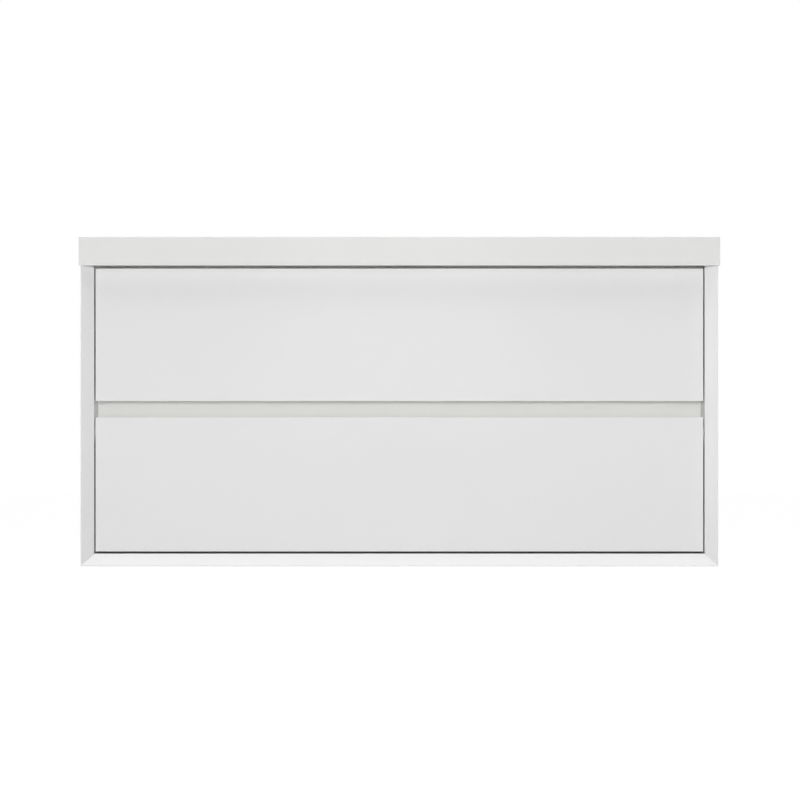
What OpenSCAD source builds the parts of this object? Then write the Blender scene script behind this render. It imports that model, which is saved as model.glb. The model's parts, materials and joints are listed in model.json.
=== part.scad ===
// Wall-hung bathroom vanity: two handleless drawers in a bevel-edged cabinet under a one-piece sink top.
// Millimetres. X runs along the wall, -Y is the front and +Z is up.
// The origin lies on the wall, in the middle of the four wall-bolt holes.

/* [Sink top] */
// Width of the sink top
top_w = 1219; // [1120:1:1300]
// Depth of the sink top, from the wall to its front edge
top_d = 470; // [420:1:540]
// Height of the sink top's edge
top_h = 54; // [46:1:70]
// Thickness of the moulded deck between the ribs
skin_t = 16; // [12:1:20]
// Thickness of the aprons round the hollow underside
apron_t = 22; // [16:1:26]
// Thickness of the ribs under the deck
rib_t = 12; // [8:1:16]
// How far the ribs beside the basin stop above the top's underside
rib_rise = 12; // [8:1:20]
// How far the top reaches past the cabinet on each side
side_overhang = 3; // [1:0.5:6]
// How far the top reaches past the cabinet's front rim
front_overhang = 4; // [1:0.5:8]
// Radius of the top's eased edges
top_edge_r = 1; // [1:0.5:4]

/* [Basin] */
// Width of the basin at its rim
bowl_w = 560; // [480:1:640]
// Distance from the top's front edge to the basin's front rim
bowl_front = 80; // [70:1:95]
// Distance from the wall to the basin's back rim
bowl_back = 105; // [100:1:110]
// Depth of the basin below the deck
bowl_depth = 125; // [100:1:140]
// Thickness of the basin's wall
bowl_wall = 12; // [9:1:14]
// Plan radius of the basin's corners at the rim
bowl_corner_r = 70; // [62:1:90]
// Radius between the basin's wall and its floor
bowl_floor_r = 30; // [20:1:34]
// Radius that eases the basin's rim into the deck
bowl_rim_r = 6; // [3:1:8]
// Lean of the basin's wall, in degrees
bowl_lean = 6; // [3:1:8]
// Diameter of the drain bore
drain_d = 45; // [40:1:50]
// Distance from the wall to the drain's axis
drain_back = 215; // [205:1:230]
// Diameter of the boss round the drain bore
drain_boss_d = 76; // [66:1:84]
// Depth of the drain boss below the basin's floor
drain_boss_h = 14; // [12:1:16]
// Diameter of the dish in which the floor falls to the drain
dish_d = 96; // [90:1:110]
// Fall of the floor in that dish
floor_fall = 3; // [1:0.5:4]
// Diameter of the tap hole
tap_hole_d = 35; // [32:1:36]
// Distance from the wall to the tap hole's axis
tap_back = 53; // [48:1:56]
// Width of the pad round the tap hole
tap_pad_w = 16; // [12:1:18]
// Depth of the pad round the tap hole, below the deck's skin
tap_pad_h = 8; // [4:1:12]
// Diameter of the overflow hole
overflow_d = 24; // [20:1:26]
// Depth of the overflow hole's axis below the deck
overflow_down = 42; // [36:1:50]
// Inside width of the overflow channel
channel_w = 24; // [18:1:28]
// Inside thickness of the overflow channel
channel_t = 6; // [5:1:7]
// Thickness of the overflow channel's own wall
channel_wall = 5; // [4:1:6]

/* [Cabinet] */
// Height of the cabinet without its top
cab_h = 572; // [500:1:640]
// Thickness of the side and bottom panels
panel_t = 22; // [19:1:25]
// Width of the flat rim outside the front bevel
rim_flat = 1.5; // [1:0.5:3]
// Thickness of the rails
rail_t = 18; // [16:1:19]
// Height of the two back rails
back_rail_h = 100; // [80:1:120]
// Height of the rail behind the upper drawer front
front_rail_h = 60; // [40:1:70]

/* [Wall fixing] */
// Distance between the wall bolts along the wall
bolt_span = 812.8; // [700:0.1:900]
// Diameter of the wall-bolt holes
bolt_hole_d = 9; // [7:0.5:11]
// Side of the square washer plates
plate_w = 50; // [40:1:70]
// Thickness of the washer plates
plate_t = 3; // [2:0.5:4]

/* [Drawer fronts] */
// Thickness of the drawer fronts
front_t = 18; // [16:1:20]
// How far the fronts stand behind the inner edge of the bevel
front_recess = 1; // [0:0.5:4]
// Gap at each side of the drawer fronts
side_gap = 2.5; // [2:0.5:4]
// Gap above the upper front
top_gap = 4; // [2:0.5:6]
// Gap below the lower front
bottom_gap = 4; // [2:0.5:6]
// Height of the upper front
upper_front_h = 254; // [235:1:275]
// Height of the finger gap between the fronts
grip_gap = 31; // [26:1:38]
// Thickness left on a front at the finger gap
grip_edge_t = 7; // [5:1:10]
// Radius of the fronts' eased edges
front_edge_r = 1; // [1:0.5:2.5]
// Gap between a closed front and the rail behind it
close_gap = 2; // [1.5:0.5:3]
// Width of the soft closing pad
pad_w = 30; // [16:1:40]
// Height of the soft closing pad
pad_h = 12; // [8:1:16]

/* [Grip rail] */
// Distance from the faces of the fronts to the grip rail
grip_depth = 38; // [34:1:60]
// How far the grip rail reaches behind each front, past the finger gap
grip_cover = 20; // [12:1:26]

/* [Drawer boxes] */
// Gap between the drawer boxes and the back rails
box_back_gap = 18.5; // [12:0.5:30]
// Thickness of the drawer boxes' walls
box_t = 15; // [12:1:16]
// Gap between the upper box and the basin above it
upper_box_room = 31.5; // [24:0.5:45]
// Gap between the lower box and the grip rail above it
lower_box_room = 29; // [20:1:35]
// Gap between the grip rail and the upper box above it
upper_box_gap = 3.5; // [2:0.5:8]
// Gap between the cabinet's bottom and the lower box
lower_box_gap = 12; // [8:1:18]
// Thickness of the drawer bottoms
bottom_t = 10; // [8:1:12]
// Height of the drawer bottoms above the boxes' lower edges
bottom_up = 10; // [8:1:14]
// Depth to which a drawer bottom is housed in the walls
housing = 5.5; // [4:0.5:7]
// Clear width of the plumbing bay in the upper drawer
bay_w = 170; // [140:1:220]
// Distance from the wall to the front of the plumbing bay
bay_front = 315; // [280:1:330]
// Thickness of the plumbing bay's walls
bay_t = 12; // [10:1:15]

/* [Runners] */
// Gap between the runners and the back rails
runner_back_gap = 6.5; // [4:0.5:20]
// Travel that a runner keeps back at full reach
runner_hold = 20; // [10:1:40]
// Height of the runners
runner_h = 45; // [45:1:50]
// Thickness of the runners, between cabinet and box
runner_t = 12.7; // [12.7:0.1:13.5]
// Height of the runners' centre line above a box's lower edge
runner_up = 50; // [46:1:54]
// Thickness of the runners' steel
steel_t = 1.2; // [1:0.1:1.2]
// Diameter of the bearing balls
ball_d = 3.2; // [3:0.1:3.2]
// Distance between the bearing balls
ball_pitch = 20; // [12:1:30]
// Thickness of the ball cages
cage_t = 0.8; // [0.6:0.1:0.8]
// Length of the rubber buffer at a runner's back end
buffer_len = 8; // [6:1:12]
// Length of the release lever
lever_len = 62; // [50:1:70]
// Distance from a runner's front end to the release lever's pin
lever_back = 190; // [175:1:205]
// Diameter of the release lever's pin
lever_pin_d = 5; // [4:0.5:6]

/* [Fixings] */
// Length of a corner bracket's legs
bracket_leg = 40; // [34:1:46]
// Width of a corner bracket
bracket_w = 18; // [14:1:24]
// Thickness of a corner bracket
bracket_t = 2; // [1.5:0.5:3]
// Shank diameter of the wood screws
screw_d = 3.5; // [3:0.5:4]
// Head diameter of the wood screws
screw_head_d = 7; // [6:0.5:8]
// Height of a pan head
pan_h = 2.2; // [1.8:0.1:2.4]
// Length of the short wood screws, in the brackets and runners
short_screw = 13; // [10:1:14]
// How deep the screws through a box's front board reach into the drawer front
front_grip = 12; // [8:1:14]

/* [Hidden] */
$fn = 32;
left = -1;
right = 1;
ends = [left, right];

// Clearances
play = 0.1;          // round a screw or a pin
slot_play = 0.2;     // round a housed drawer bottom
ball_play = 0.2;     // between a ball and its races
hole_play = 0.15;    // between a ball and the hole in its cage
seat_gap = 0.3;      // between steel members that slide past each other
over = 1;            // how far a cut runs past a face

// Heights
bolt_rise = cab_h - panel_t - back_rail_h;
upper_bolt_z = bolt_rise / 2;
lower_bolt_z = -bolt_rise / 2;
cab_top = upper_bolt_z + back_rail_h / 2;
cab_bottom = cab_top - cab_h;
inside_floor = cab_bottom + panel_t;
deck_z = cab_top + top_h;
bowl_floor_z = deck_z - bowl_depth;
upper_front_top = cab_top - top_gap;
upper_front_bottom = upper_front_top - upper_front_h;
lower_front_top = upper_front_bottom - grip_gap;
lower_front_bottom = inside_floor + bottom_gap;
grip_rail_top = upper_front_bottom + grip_cover;
grip_rail_bottom = lower_front_top - grip_cover;
upper_box_z = grip_rail_top + upper_box_gap;
lower_box_z = inside_floor + lower_box_gap;
upper_box_h = bowl_floor_z - bowl_wall - upper_box_room - upper_box_z;
lower_box_h = grip_rail_bottom - lower_box_room - lower_box_z;
upper_runner_z = upper_box_z + runner_up;
lower_runner_z = lower_box_z + runner_up;

// Widths
cab_w = top_w - 2 * side_overhang;
inner_w = cab_w - 2 * panel_t;
front_w = inner_w - 2 * side_gap;
box_w = inner_w - 2 * runner_t;
box_inner_w = box_w - 2 * box_t;
bay_outer_w = bay_w + 2 * bay_t;

// Places along Y, from the wall at 0 towards the front
cab_front = front_overhang - top_d;
bevel = panel_t - rim_flat;
face_y = cab_front + bevel + front_recess;
front_back_y = face_y + front_t;
front_rail_y = front_back_y + close_gap;
box_front_y = front_back_y;
box_back_y = -rail_t - box_back_gap;
box_len = box_back_y - box_front_y;
runner_front_y = front_rail_y;
runner_back_y = -rail_t - runner_back_gap;
runner_len = runner_back_y - runner_front_y;
grip_rail_y = face_y + grip_depth;
bowl_d = top_d - bowl_front - bowl_back;
bowl_y = -(bowl_back + bowl_d / 2);
bowl_core = [bowl_w - 2 * bowl_corner_r, bowl_d - 2 * bowl_corner_r];
shell_top = bowl_depth - skin_t / 2;
wing_ribs = 2;

// Runner section: X is measured from the cabinet's side towards the drawer, Z from the centre line
ball_r = ball_d / 2;
race_r = ball_r + ball_play;
curl_r = race_r + steel_t;
curl_reach = 10;     // degrees by which a curl passes the quarter turn
flange_drop = 1.1;   // from the balls' centres down to the flange between them
lip_trim = 0.4;      // how far the inner member's flange stays short of a full curl
cage_lip = race_r - seat_gap;
ball_hole_r = ball_r + hole_play;
middle_x = steel_t + cage_t + 2 * seat_gap;
outer_ball_x = middle_x + 2 * steel_t;
outer_ball_z = runner_h / 2 - curl_r;
middle_half = outer_ball_z - flange_drop;
inner_web_x = runner_t - steel_t;
inner_ball_x = inner_web_x - seat_gap - curl_r;
inner_ball_z = middle_half - curl_r;
inner_half = inner_ball_z - flange_drop;
flange_lip = curl_r - lip_trim;
outer_cage_x = steel_t + seat_gap;
inner_cage_x = middle_x + steel_t + seat_gap;

// Lengths along the runner
moving_len = runner_len - buffer_len - seat_gap;
travel = moving_len - runner_hold;
moving_back_y = runner_front_y + moving_len;
cage_margin = 3;
cage_len = moving_len - travel / 2 - 2 * cage_margin;
cage_mid_y = runner_front_y + moving_len / 2;
balls = floor((cage_len - ball_pitch / 2) / ball_pitch);

// Release lever
lever_t = 2;
lever_hub_wall = 2.5;
lever_x = inner_web_x - seat_gap - lever_t;
lever_h = 7;
lever_hub_r = lever_pin_d / 2 + lever_hub_wall;
lever_pad_r = 5;
lever_y = runner_front_y + lever_back;
rivet_rim = 1;
rivet_r = lever_pin_d / 2 + rivet_rim;
rivet_h = 0.8;

// Screw places
csk_h = (screw_head_d - screw_d) / 2;
screw_inset = 25;
lever_screw_gap = 12;
outer_screw_pitch = (runner_len - buffer_len - 2 * screw_inset) / 3;
outer_screw_y = [for (i = [0 : 3]) runner_front_y + screw_inset + i * outer_screw_pitch];
inner_screw_y = [runner_front_y + screw_inset, lever_y - lever_len - lever_hub_r - lever_screw_gap,
    lever_y + screw_inset, moving_back_y - screw_inset];
front_screw_inset = 110;
front_screw_pitch = (box_inner_w - 2 * front_screw_inset) / 3;
front_screw_x = [for (i = [0 : 3]) front_screw_inset - box_inner_w / 2 + i * front_screw_pitch];
front_screw_len = box_t + front_grip;
screw_row_inset = 30;
bracket_hole_inset = 9;
bracket_hole_pitch = 17;
bracket_hole_at = [bracket_leg - bracket_hole_inset - bracket_hole_pitch, bracket_leg - bracket_hole_inset];
bracket_up = 12;
bracket_floor_z = inside_floor + bracket_up + bracket_w / 2;

// Basin rim, as shares of its radius: where its arc stands off the wall, and where it starts above its centre
rim_bite = 0.985;
rim_foot = 0.1;

// Overflow
overflow_z = bowl_depth - overflow_down;
channel_drop = 2;    // between the basin's shell and the channel under it
ring_flange_w = 4;
ring_flange_r = overflow_d / 2 + ring_flange_w;
ring_flange_t = 1.6;
ring_sleeve_r = overflow_d / 2 - play;
ring_wall = 3;
ring_hole_r = overflow_d / 2 - ring_wall;
ring_short = 2;      // how far the ring's sleeve stops inside the basin's wall
ring_len = bowl_wall - ring_short;

// Colours
white_lacquer = [0.93, 0.93, 0.92];
white_acrylic = [0.96, 0.96, 0.95];
pale_board = [0.78, 0.77, 0.74];
zinc = [0.72, 0.73, 0.75];
cage_steel = [0.6, 0.61, 0.63];
chrome = [0.82, 0.83, 0.85];
black_plastic = [0.12, 0.12, 0.13];
grey_rubber = [0.55, 0.55, 0.54];

// ---- Shared shapes ----

// A block between two opposite corners.
module block(low, high) {
    translate(low)
        cube(high - low);
}

// A block centred on X = 0.
module centred_block(width, y0, y1, z0, z1) {
    block([-width / 2, y0, z0], [width / 2, y1, z1]);
}

// A rectangle of core_x by core_y whose edge carries the child section all round:
// the section's X points outwards from the core and its Y points up.
module edged_slab(core_x, core_y, z0, z1) {
    centred_block(core_x, -core_y / 2, core_y / 2, z0, z1);
    for (side = [0, 1]) {
        mirror([side, 0, 0])
            translate([core_x / 2, core_y / 2, 0])
                rotate([90, 0, 0])
                    linear_extrude(core_y)
                        children();
        mirror([0, side, 0])
            translate([-core_x / 2, core_y / 2, 0])
                rotate([90, 0, 90])
                    linear_extrude(core_x)
                        children();
    }
    for (side = [0, 1], end = [0, 1])
        mirror([side, 0, 0])
            mirror([0, end, 0])
                translate([core_x / 2, core_y / 2, 0])
                    rotate_extrude(angle = 90)
                        children();
}

// A quarter-round of the given radius on top of a wall, and one below it where under is 1.
module eased_section(height, radius, under) {
    intersection() {
        square([radius, height]);
        union() {
            translate([0, under * radius])
                square([radius, height - (1 + under) * radius]);
            translate([0, height - radius])
                circle(radius);
            if (under == 1)
                translate([0, radius])
                    circle(radius);
        }
    }
}

// Wood screw pointing down, with the top of its countersunk head at Z = 0.
module countersunk_screw(length, room = 0) {
    translate([0, 0, -csk_h])
        cylinder(h = csk_h, r1 = screw_d / 2 + room, r2 = screw_head_d / 2 + room);
    translate([0, 0, -length - room])
        cylinder(h = length + room - csk_h, r = screw_d / 2 + room);
}

// Wood screw pointing down, with the underside of its pan head at Z = 0.
module pan_screw(length) {
    cylinder(h = pan_h, r = screw_head_d / 2);
    translate([0, 0, -length])
        cylinder(h = length, r = screw_d / 2);
}

// The hole for that screw's shank.
module pan_screw_hole(length) {
    translate([0, 0, -length - play])
        cylinder(h = length + play + over, r = screw_d / 2 + play);
}

// ---- Sink top ----

// Distance of the basin's wall from the core rectangle at height z above its floor.
function wall_x(z, grow) = bowl_corner_r - (bowl_depth - z) * tan(bowl_lean) + grow / cos(bowl_lean);

// Half section of the basin, leaning wall and rounded foot, up to z1; grow thickens it into the shell.
module bowl_section(grow, z1) {
    foot_r = bowl_floor_r + grow;
    foot_z = foot_r - grow;
    foot_x = wall_x(foot_z, grow) - foot_r / cos(bowl_lean);
    polygon([[0, -grow], [foot_x, -grow],
        [foot_x + foot_r * cos(bowl_lean), foot_z - foot_r * sin(bowl_lean)],
        [wall_x(z1, grow), z1], [0, z1]]);
    intersection() {
        translate([foot_x, foot_z])
            circle(foot_r, $fn = 96);
        translate([0, -grow])
            square([foot_x + foot_r, foot_r]);
    }
}

// The same section with the eased rim, running out above the deck.
// The rim's arc crosses the wall at a slight angle.
module cavity_section() {
    rim_z = bowl_depth - bowl_rim_r;
    rim_x = wall_x(rim_z, 0) + rim_bite * bowl_rim_r / cos(bowl_lean);
    bowl_section(0, bowl_depth + over);
    difference() {
        translate([0, rim_z + rim_foot * bowl_rim_r])
            square([rim_x, (1 - rim_foot) * bowl_rim_r + over]);
        translate([rim_x, rim_z])
            circle(bowl_rim_r, $fn = 64);
    }
}

// Puts its child on the basin's floor, in the middle.
module at_bowl() {
    translate([0, bowl_y, bowl_floor_z])
        children();
}

// Puts its child on the basin's back wall, at the overflow hole, with Z pointing into the basin.
module at_overflow() {
    translate([0, bowl_y + bowl_d / 2 - bowl_corner_r + wall_x(overflow_z, 0), bowl_floor_z + overflow_z])
        rotate([90 - bowl_lean, 0, 0])
            children();
}

// Cast channel from the overflow hole, down behind the basin and forward until it opens in the drain bore.
module overflow_channel(wall) {
    back = -bowl_back + bowl_wall + channel_t + wall;
    lip = back - channel_t - 2 * wall;
    low = bowl_floor_z - bowl_wall - channel_drop - channel_t - wall;
    width = channel_w + 2 * wall;
    high = bowl_floor_z + overflow_z + overflow_d / 2 + wall;
    centred_block(width, lip, back, low, high);
    centred_block(width, -drain_back + drain_d / 4, back, low, low + channel_t + 2 * wall);
}

// The top before it is bored. Its slab runs past the wall's plane and is cut flat there,
// so that its back edge stays sharp.
module sink_body() {
    difference() {
        translate([0, top_edge_r - top_d / 2, cab_top])
            edged_slab(top_w - 2 * top_edge_r, top_d, 0, top_h)
                eased_section(top_h, top_edge_r, 1);
        centred_block(top_w + over, 0, 2 * top_edge_r + over, cab_top - over, deck_z + over);
        centred_block(top_w - 2 * apron_t, apron_t - top_d, -apron_t, cab_top - over, deck_z - skin_t);
    }
    sink_ribs();
    at_bowl()
        edged_slab(bowl_core[0], bowl_core[1], -bowl_wall, shell_top)
            bowl_section(bowl_wall, shell_top);
    translate([0, -drain_back, bowl_floor_z - bowl_wall - drain_boss_h])
        cylinder(h = drain_boss_h + bowl_wall / 2, d = drain_boss_d);
    translate([0, -tap_back, deck_z - skin_t - tap_pad_h])
        cylinder(h = tap_pad_h + over, d = tap_hole_d + 2 * tap_pad_w);
    overflow_channel(channel_wall);
}

// Ribs under the deck: one bears on the front rail, the others stiffen the wings beside the basin.
module sink_ribs() {
    rib_low = cab_top + rib_rise;
    deck_low = deck_z - skin_t + over;
    wing = (top_w / 2 - apron_t - bowl_w / 2) / (wing_ribs + 1);
    centred_block(top_w - 2 * apron_t, front_rail_y, front_rail_y + rib_t, cab_top, deck_low);
    for (side = ends, step = [1 : wing_ribs])
        translate([side * (bowl_w / 2 + step * wing), 0, 0])
            centred_block(rib_t, front_rail_y, -apron_t, rib_low, deck_low);
}

module sink_top() {
    color(white_acrylic)
        difference() {
            sink_body();
            at_bowl()
                edged_slab(bowl_core[0], bowl_core[1], 0, bowl_depth + over)
                    cavity_section();
            translate([0, -drain_back, bowl_floor_z - floor_fall])
                cylinder(h = floor_fall, d1 = drain_d, d2 = dish_d, $fn = 96);
            translate([0, -drain_back, bowl_floor_z - bowl_wall - drain_boss_h - over])
                cylinder(h = bowl_wall + drain_boss_h + 2 * over, d = drain_d, $fn = 64);
            translate([0, -tap_back, deck_z - skin_t - tap_pad_h - over])
                cylinder(h = skin_t + tap_pad_h + 2 * over, d = tap_hole_d, $fn = 64);
            at_overflow()
                translate([0, 0, -bowl_wall - channel_t / 2])
                    cylinder(h = bowl_wall + channel_t / 2 + over, d = overflow_d, $fn = 48);
            overflow_channel(0);
        }
}

// Pressed ring that trims the overflow hole.
module overflow_ring() {
    color(chrome)
        at_overflow()
            difference() {
                union() {
                    cylinder(h = ring_flange_t, r = ring_flange_r, $fn = 48);
                    translate([0, 0, -ring_len])
                        cylinder(h = ring_len, r = ring_sleeve_r, $fn = 48);
                }
                translate([0, 0, -ring_len - over])
                    cylinder(h = ring_len + ring_flange_t + 2 * over, r = ring_hole_r, $fn = 48);
            }
}

// ---- Cabinet ----

// Cross-section of a bevel-fronted panel: X is its thickness from the inner face, Y its depth.
module bevel_section() {
    polygon([[0, 0], [panel_t, 0], [panel_t, cab_front], [panel_t - rim_flat, cab_front],
        [0, cab_front + bevel]]);
}

module side_panel(side) {
    color(white_lacquer)
        difference() {
            mirror([side > 0 ? 0 : 1, 0, 0])
                intersection() {
                    translate([inner_w / 2, 0, cab_bottom])
                        linear_extrude(cab_h)
                            bevel_section();
                    translate([0, over, 0])
                        rotate([90, 0, 0])
                            linear_extrude(top_d + 2 * over)
                                polygon([[inner_w / 2, inside_floor], [cab_w / 2, cab_bottom],
                                    [cab_w / 2, cab_top], [inner_w / 2, cab_top]]);
                }
            for (height = [upper_runner_z, lower_runner_z])
                at_runner(side, height)
                    outer_slide_screws(play);
            bracket_screw_set(side) pan_screw_hole(short_screw);
        }
}

module side_panel_left() side_panel(left);

module side_panel_right() side_panel(right);

module bottom_panel() {
    color(white_lacquer)
        intersection() {
            translate([-cab_w / 2, 0, inside_floor])
                mirror([0, 0, 1])
                    rotate([90, 0, 90])
                        linear_extrude(cab_w)
                            rotate([0, 0, 90])
                                mirror([0, 1, 0])
                                    bevel_section();
            translate([0, over, 0])
                rotate([90, 0, 0])
                    linear_extrude(top_d + 2 * over)
                        polygon([[-inner_w / 2, inside_floor], [-cab_w / 2, cab_bottom],
                            [cab_w / 2, cab_bottom], [inner_w / 2, inside_floor]]);
        }
}

// A rail between the side panels, drilled for its two brackets.
module rail(y0, z0, z1) {
    color(white_lacquer)
        difference() {
            centred_block(inner_w, y0, y0 + rail_t, z0, z1);
            for (side = ends)
                bracket_screw_set(side) pan_screw_hole(short_screw);
            for (bolt_x = [-bolt_span / 2, bolt_span / 2], bolt_z = [lower_bolt_z, upper_bolt_z])
                wall_bolt_hole(bolt_x, bolt_z);
        }
}

module wall_bolt_hole(bolt_x, bolt_z) {
    translate([bolt_x, over, bolt_z])
        rotate([90, 0, 0])
            cylinder(h = rail_t + plate_t + 2 * over, d = bolt_hole_d, $fn = 48);
}

module upper_back_rail() rail(-rail_t, upper_bolt_z - back_rail_h / 2, cab_top);

module lower_back_rail() rail(-rail_t, inside_floor, inside_floor + back_rail_h);

module front_rail() rail(front_rail_y, cab_top - front_rail_h, cab_top);

module grip_rail() rail(grip_rail_y, grip_rail_bottom, grip_rail_top);

// Square washer plates that spread the wall bolts' load over the back rails.
module wall_plates() {
    color(zinc)
        for (bolt_x = [-bolt_span / 2, bolt_span / 2], bolt_z = [lower_bolt_z, upper_bolt_z])
            difference() {
                translate([bolt_x, 0, bolt_z])
                    centred_block(plate_w, -rail_t - plate_t, -rail_t, -plate_w / 2, plate_w / 2);
                wall_bolt_hole(bolt_x, bolt_z);
            }
}

// Soft pad on the front rail that the upper front closes against.
module closing_pad() {
    pad_top = cab_top - top_gap / 2;
    color(grey_rubber)
        centred_block(pad_w, front_back_y, front_rail_y, pad_top - pad_h, pad_top);
}

// ---- Corner brackets ----

// Each bracket's place: the face it stands on, its height, and the way its side leg points along Y.
bracket_places = [
    [-rail_t, upper_bolt_z, -1],
    [-rail_t, bracket_floor_z, -1],
    [grip_rail_y + rail_t, (grip_rail_top + grip_rail_bottom) / 2, 1],
    [front_rail_y + rail_t, cab_top - front_rail_h / 2, 1]
];

// Puts its child in each inside corner on one side: X along the rail, Y along the side panel.
module at_brackets(side) {
    for (place = bracket_places)
        translate([side * inner_w / 2, place[0], place[1]])
            mirror([side > 0 ? 1 : 0, 0, 0])
                mirror([0, place[2] < 0 ? 1 : 0, 0])
                    children();
}

// Puts its child at each bracket hole, pointing out of the wood.
module bracket_screw_set(side) {
    at_brackets(side)
        for (at = bracket_hole_at) {
            translate([at, bracket_t, 0])
                rotate([-90, 0, 0])
                    children();
            translate([bracket_t, at, 0])
                rotate([0, 90, 0])
                    children();
        }
}

module corner_brackets() {
    color(zinc)
        for (side = ends)
            difference() {
                at_brackets(side) {
                    block([0, 0, -bracket_w / 2], [bracket_leg, bracket_t, bracket_w / 2]);
                    block([0, 0, -bracket_w / 2], [bracket_t, bracket_leg, bracket_w / 2]);
                }
                bracket_screw_set(side) pan_screw_hole(short_screw);
            }
}

module bracket_screws() {
    color(zinc)
        for (side = ends)
            bracket_screw_set(side) pan_screw(short_screw);
}

// ---- Runners ----

// Puts its child on the cabinet's side at a runner's centre line, with X towards the drawer.
module at_runner(side, height) {
    translate([side * inner_w / 2, 0, height])
        mirror([side > 0 ? 1 : 0, 0, 0])
            children();
}

// Extrudes a section along Y, from its back end towards the front.
module along_runner(back_y, length) {
    translate([0, back_y, 0])
        rotate([90, 0, 0])
            linear_extrude(length)
                children();
}

// Both halves of a section that is the same above and below the centre line.
module top_and_bottom() {
    for (half = [0, 1])
        mirror([0, half, 0])
            children();
}

// Steel curled over a ball: a quarter turn and a little more.
module curl(ball_x, ball_z) {
    reach = 2 * curl_r;
    translate([ball_x, ball_z])
        intersection() {
            difference() {
                circle(curl_r);
                circle(race_r);
            }
            polygon([[0, 0], [0, reach], [reach, reach], [reach, -reach * tan(curl_reach)]]);
        }
}

// Flange from x0 to x1 with a rolled groove under a ball; top is the flange's upper face.
module grooved_flange(x0, x1, top, ball_x, ball_z) {
    difference() {
        union() {
            translate([x0, top - steel_t])
                square([x1 - x0, steel_t]);
            intersection() {
                translate([ball_x, ball_z])
                    circle(curl_r);
                translate([x0, ball_z - curl_r])
                    square([x1 - x0, top - ball_z + curl_r]);
            }
        }
        translate([ball_x, ball_z])
            circle(race_r);
    }
}

// Outer member, screwed to the cabinet's side.
module outer_slide() {
    color(zinc)
        difference() {
            along_runner(runner_back_y, runner_len) {
                translate([0, -runner_h / 2])
                    square([steel_t, runner_h]);
                top_and_bottom() {
                    translate([0, runner_h / 2 - steel_t])
                        square([outer_ball_x, steel_t]);
                    curl(outer_ball_x, outer_ball_z);
                }
            }
            outer_slide_screws(play);
        }
}

// Middle member, which runs in the outer one and carries the inner one.
module middle_slide() {
    color(zinc)
        along_runner(moving_back_y, moving_len) {
            translate([middle_x, -middle_half])
                square([steel_t, 2 * middle_half]);
            top_and_bottom() {
                grooved_flange(middle_x, inner_ball_x, middle_half, outer_ball_x, outer_ball_z);
                curl(inner_ball_x, inner_ball_z);
            }
        }
}

// Inner member, screwed to the drawer box, with the release lever's pin.
module inner_slide() {
    color(zinc)
        difference() {
            union() {
                along_runner(moving_back_y, moving_len) {
                    translate([inner_web_x, -inner_half])
                        square([steel_t, 2 * inner_half]);
                    top_and_bottom()
                        grooved_flange(inner_ball_x - flange_lip, runner_t, inner_half,
                            inner_ball_x, inner_ball_z);
                }
                lever_pin();
            }
            inner_slide_screws() pan_screw_hole(short_screw);
        }
}

module lever_pin() {
    translate([lever_x - seat_gap - rivet_h, lever_y, 0])
        rotate([0, 90, 0]) {
            cylinder(h = inner_web_x - lever_x + seat_gap + rivet_h, d = lever_pin_d);
            cylinder(h = rivet_h, r = rivet_r);
        }
}

// Cage that keeps the balls apart, with its balls.
module ball_cage(web_x, ball_x, ball_z) {
    first_y = cage_mid_y - (balls - 1) / 2 * ball_pitch;
    color(cage_steel) {
        difference() {
            along_runner(cage_mid_y + cage_len / 2, cage_len) {
                translate([web_x, -ball_z - cage_t / 2])
                    square([cage_t, 2 * ball_z + cage_t]);
                top_and_bottom()
                    translate([web_x, ball_z - cage_t / 2])
                        square([ball_x + cage_lip - web_x, cage_t]);
            }
            for (i = [0 : balls - 1], row = ends)
                translate([ball_x, first_y + i * ball_pitch, row * ball_z - cage_t])
                    cylinder(h = 2 * cage_t, r = ball_hole_r);
        }
        for (i = [0 : balls - 1], row = ends)
            translate([ball_x, first_y + i * ball_pitch, row * ball_z])
                sphere(ball_r, $fn = 16);
    }
}

module outer_cage() ball_cage(outer_cage_x, outer_ball_x, outer_ball_z);

module inner_cage() ball_cage(inner_cage_x, inner_ball_x, inner_ball_z);

// Lever that frees the drawer from its runner, turning on the inner member's pin.
module release_lever() {
    color(black_plastic)
        translate([lever_x, lever_y, 0])
            rotate([90, 0, 90])
                linear_extrude(lever_t)
                    difference() {
                        union() {
                            circle(lever_hub_r);
                            translate([-lever_len, -lever_h / 2])
                                square([lever_len, lever_h]);
                            translate([-lever_len, 0])
                                circle(lever_pad_r);
                        }
                        circle(lever_pin_d / 2 + play);
                    }
}

// Screws of the outer member, pointing into the cabinet's side.
module outer_slide_screws(room) {
    for (screw_y = outer_screw_y)
        translate([steel_t, screw_y, 0])
            rotate([0, 90, 0])
                countersunk_screw(short_screw, room);
}

// Puts its child at each screw place of the inner member, pointing away from the drawer's side.
module inner_slide_screws() {
    for (screw_y = inner_screw_y)
        translate([inner_web_x, screw_y, 0])
            rotate([0, -90, 0])
                children();
}

module runner_screws() {
    color(zinc)
        for (side = ends, height = [upper_runner_z, lower_runner_z])
            at_runner(side, height)
                outer_slide_screws(0);
}

// Rubber blocks in the outer members' back ends, which the moving members stop against.
module runner_buffers() {
    color(grey_rubber)
        for (side = ends, height = [upper_runner_z, lower_runner_z])
            at_runner(side, height)
                block([steel_t, runner_back_y - buffer_len, -inner_half],
                    [inner_web_x, runner_back_y, inner_half]);
}

module upper_left_outer_slide() at_runner(left, upper_runner_z) outer_slide();

module upper_left_outer_cage() at_runner(left, upper_runner_z) outer_cage();

module upper_left_middle_slide() at_runner(left, upper_runner_z) middle_slide();

module upper_left_inner_cage() at_runner(left, upper_runner_z) inner_cage();

module upper_left_inner_slide() at_runner(left, upper_runner_z) inner_slide();

module upper_left_release_lever() at_runner(left, upper_runner_z) release_lever();

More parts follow.
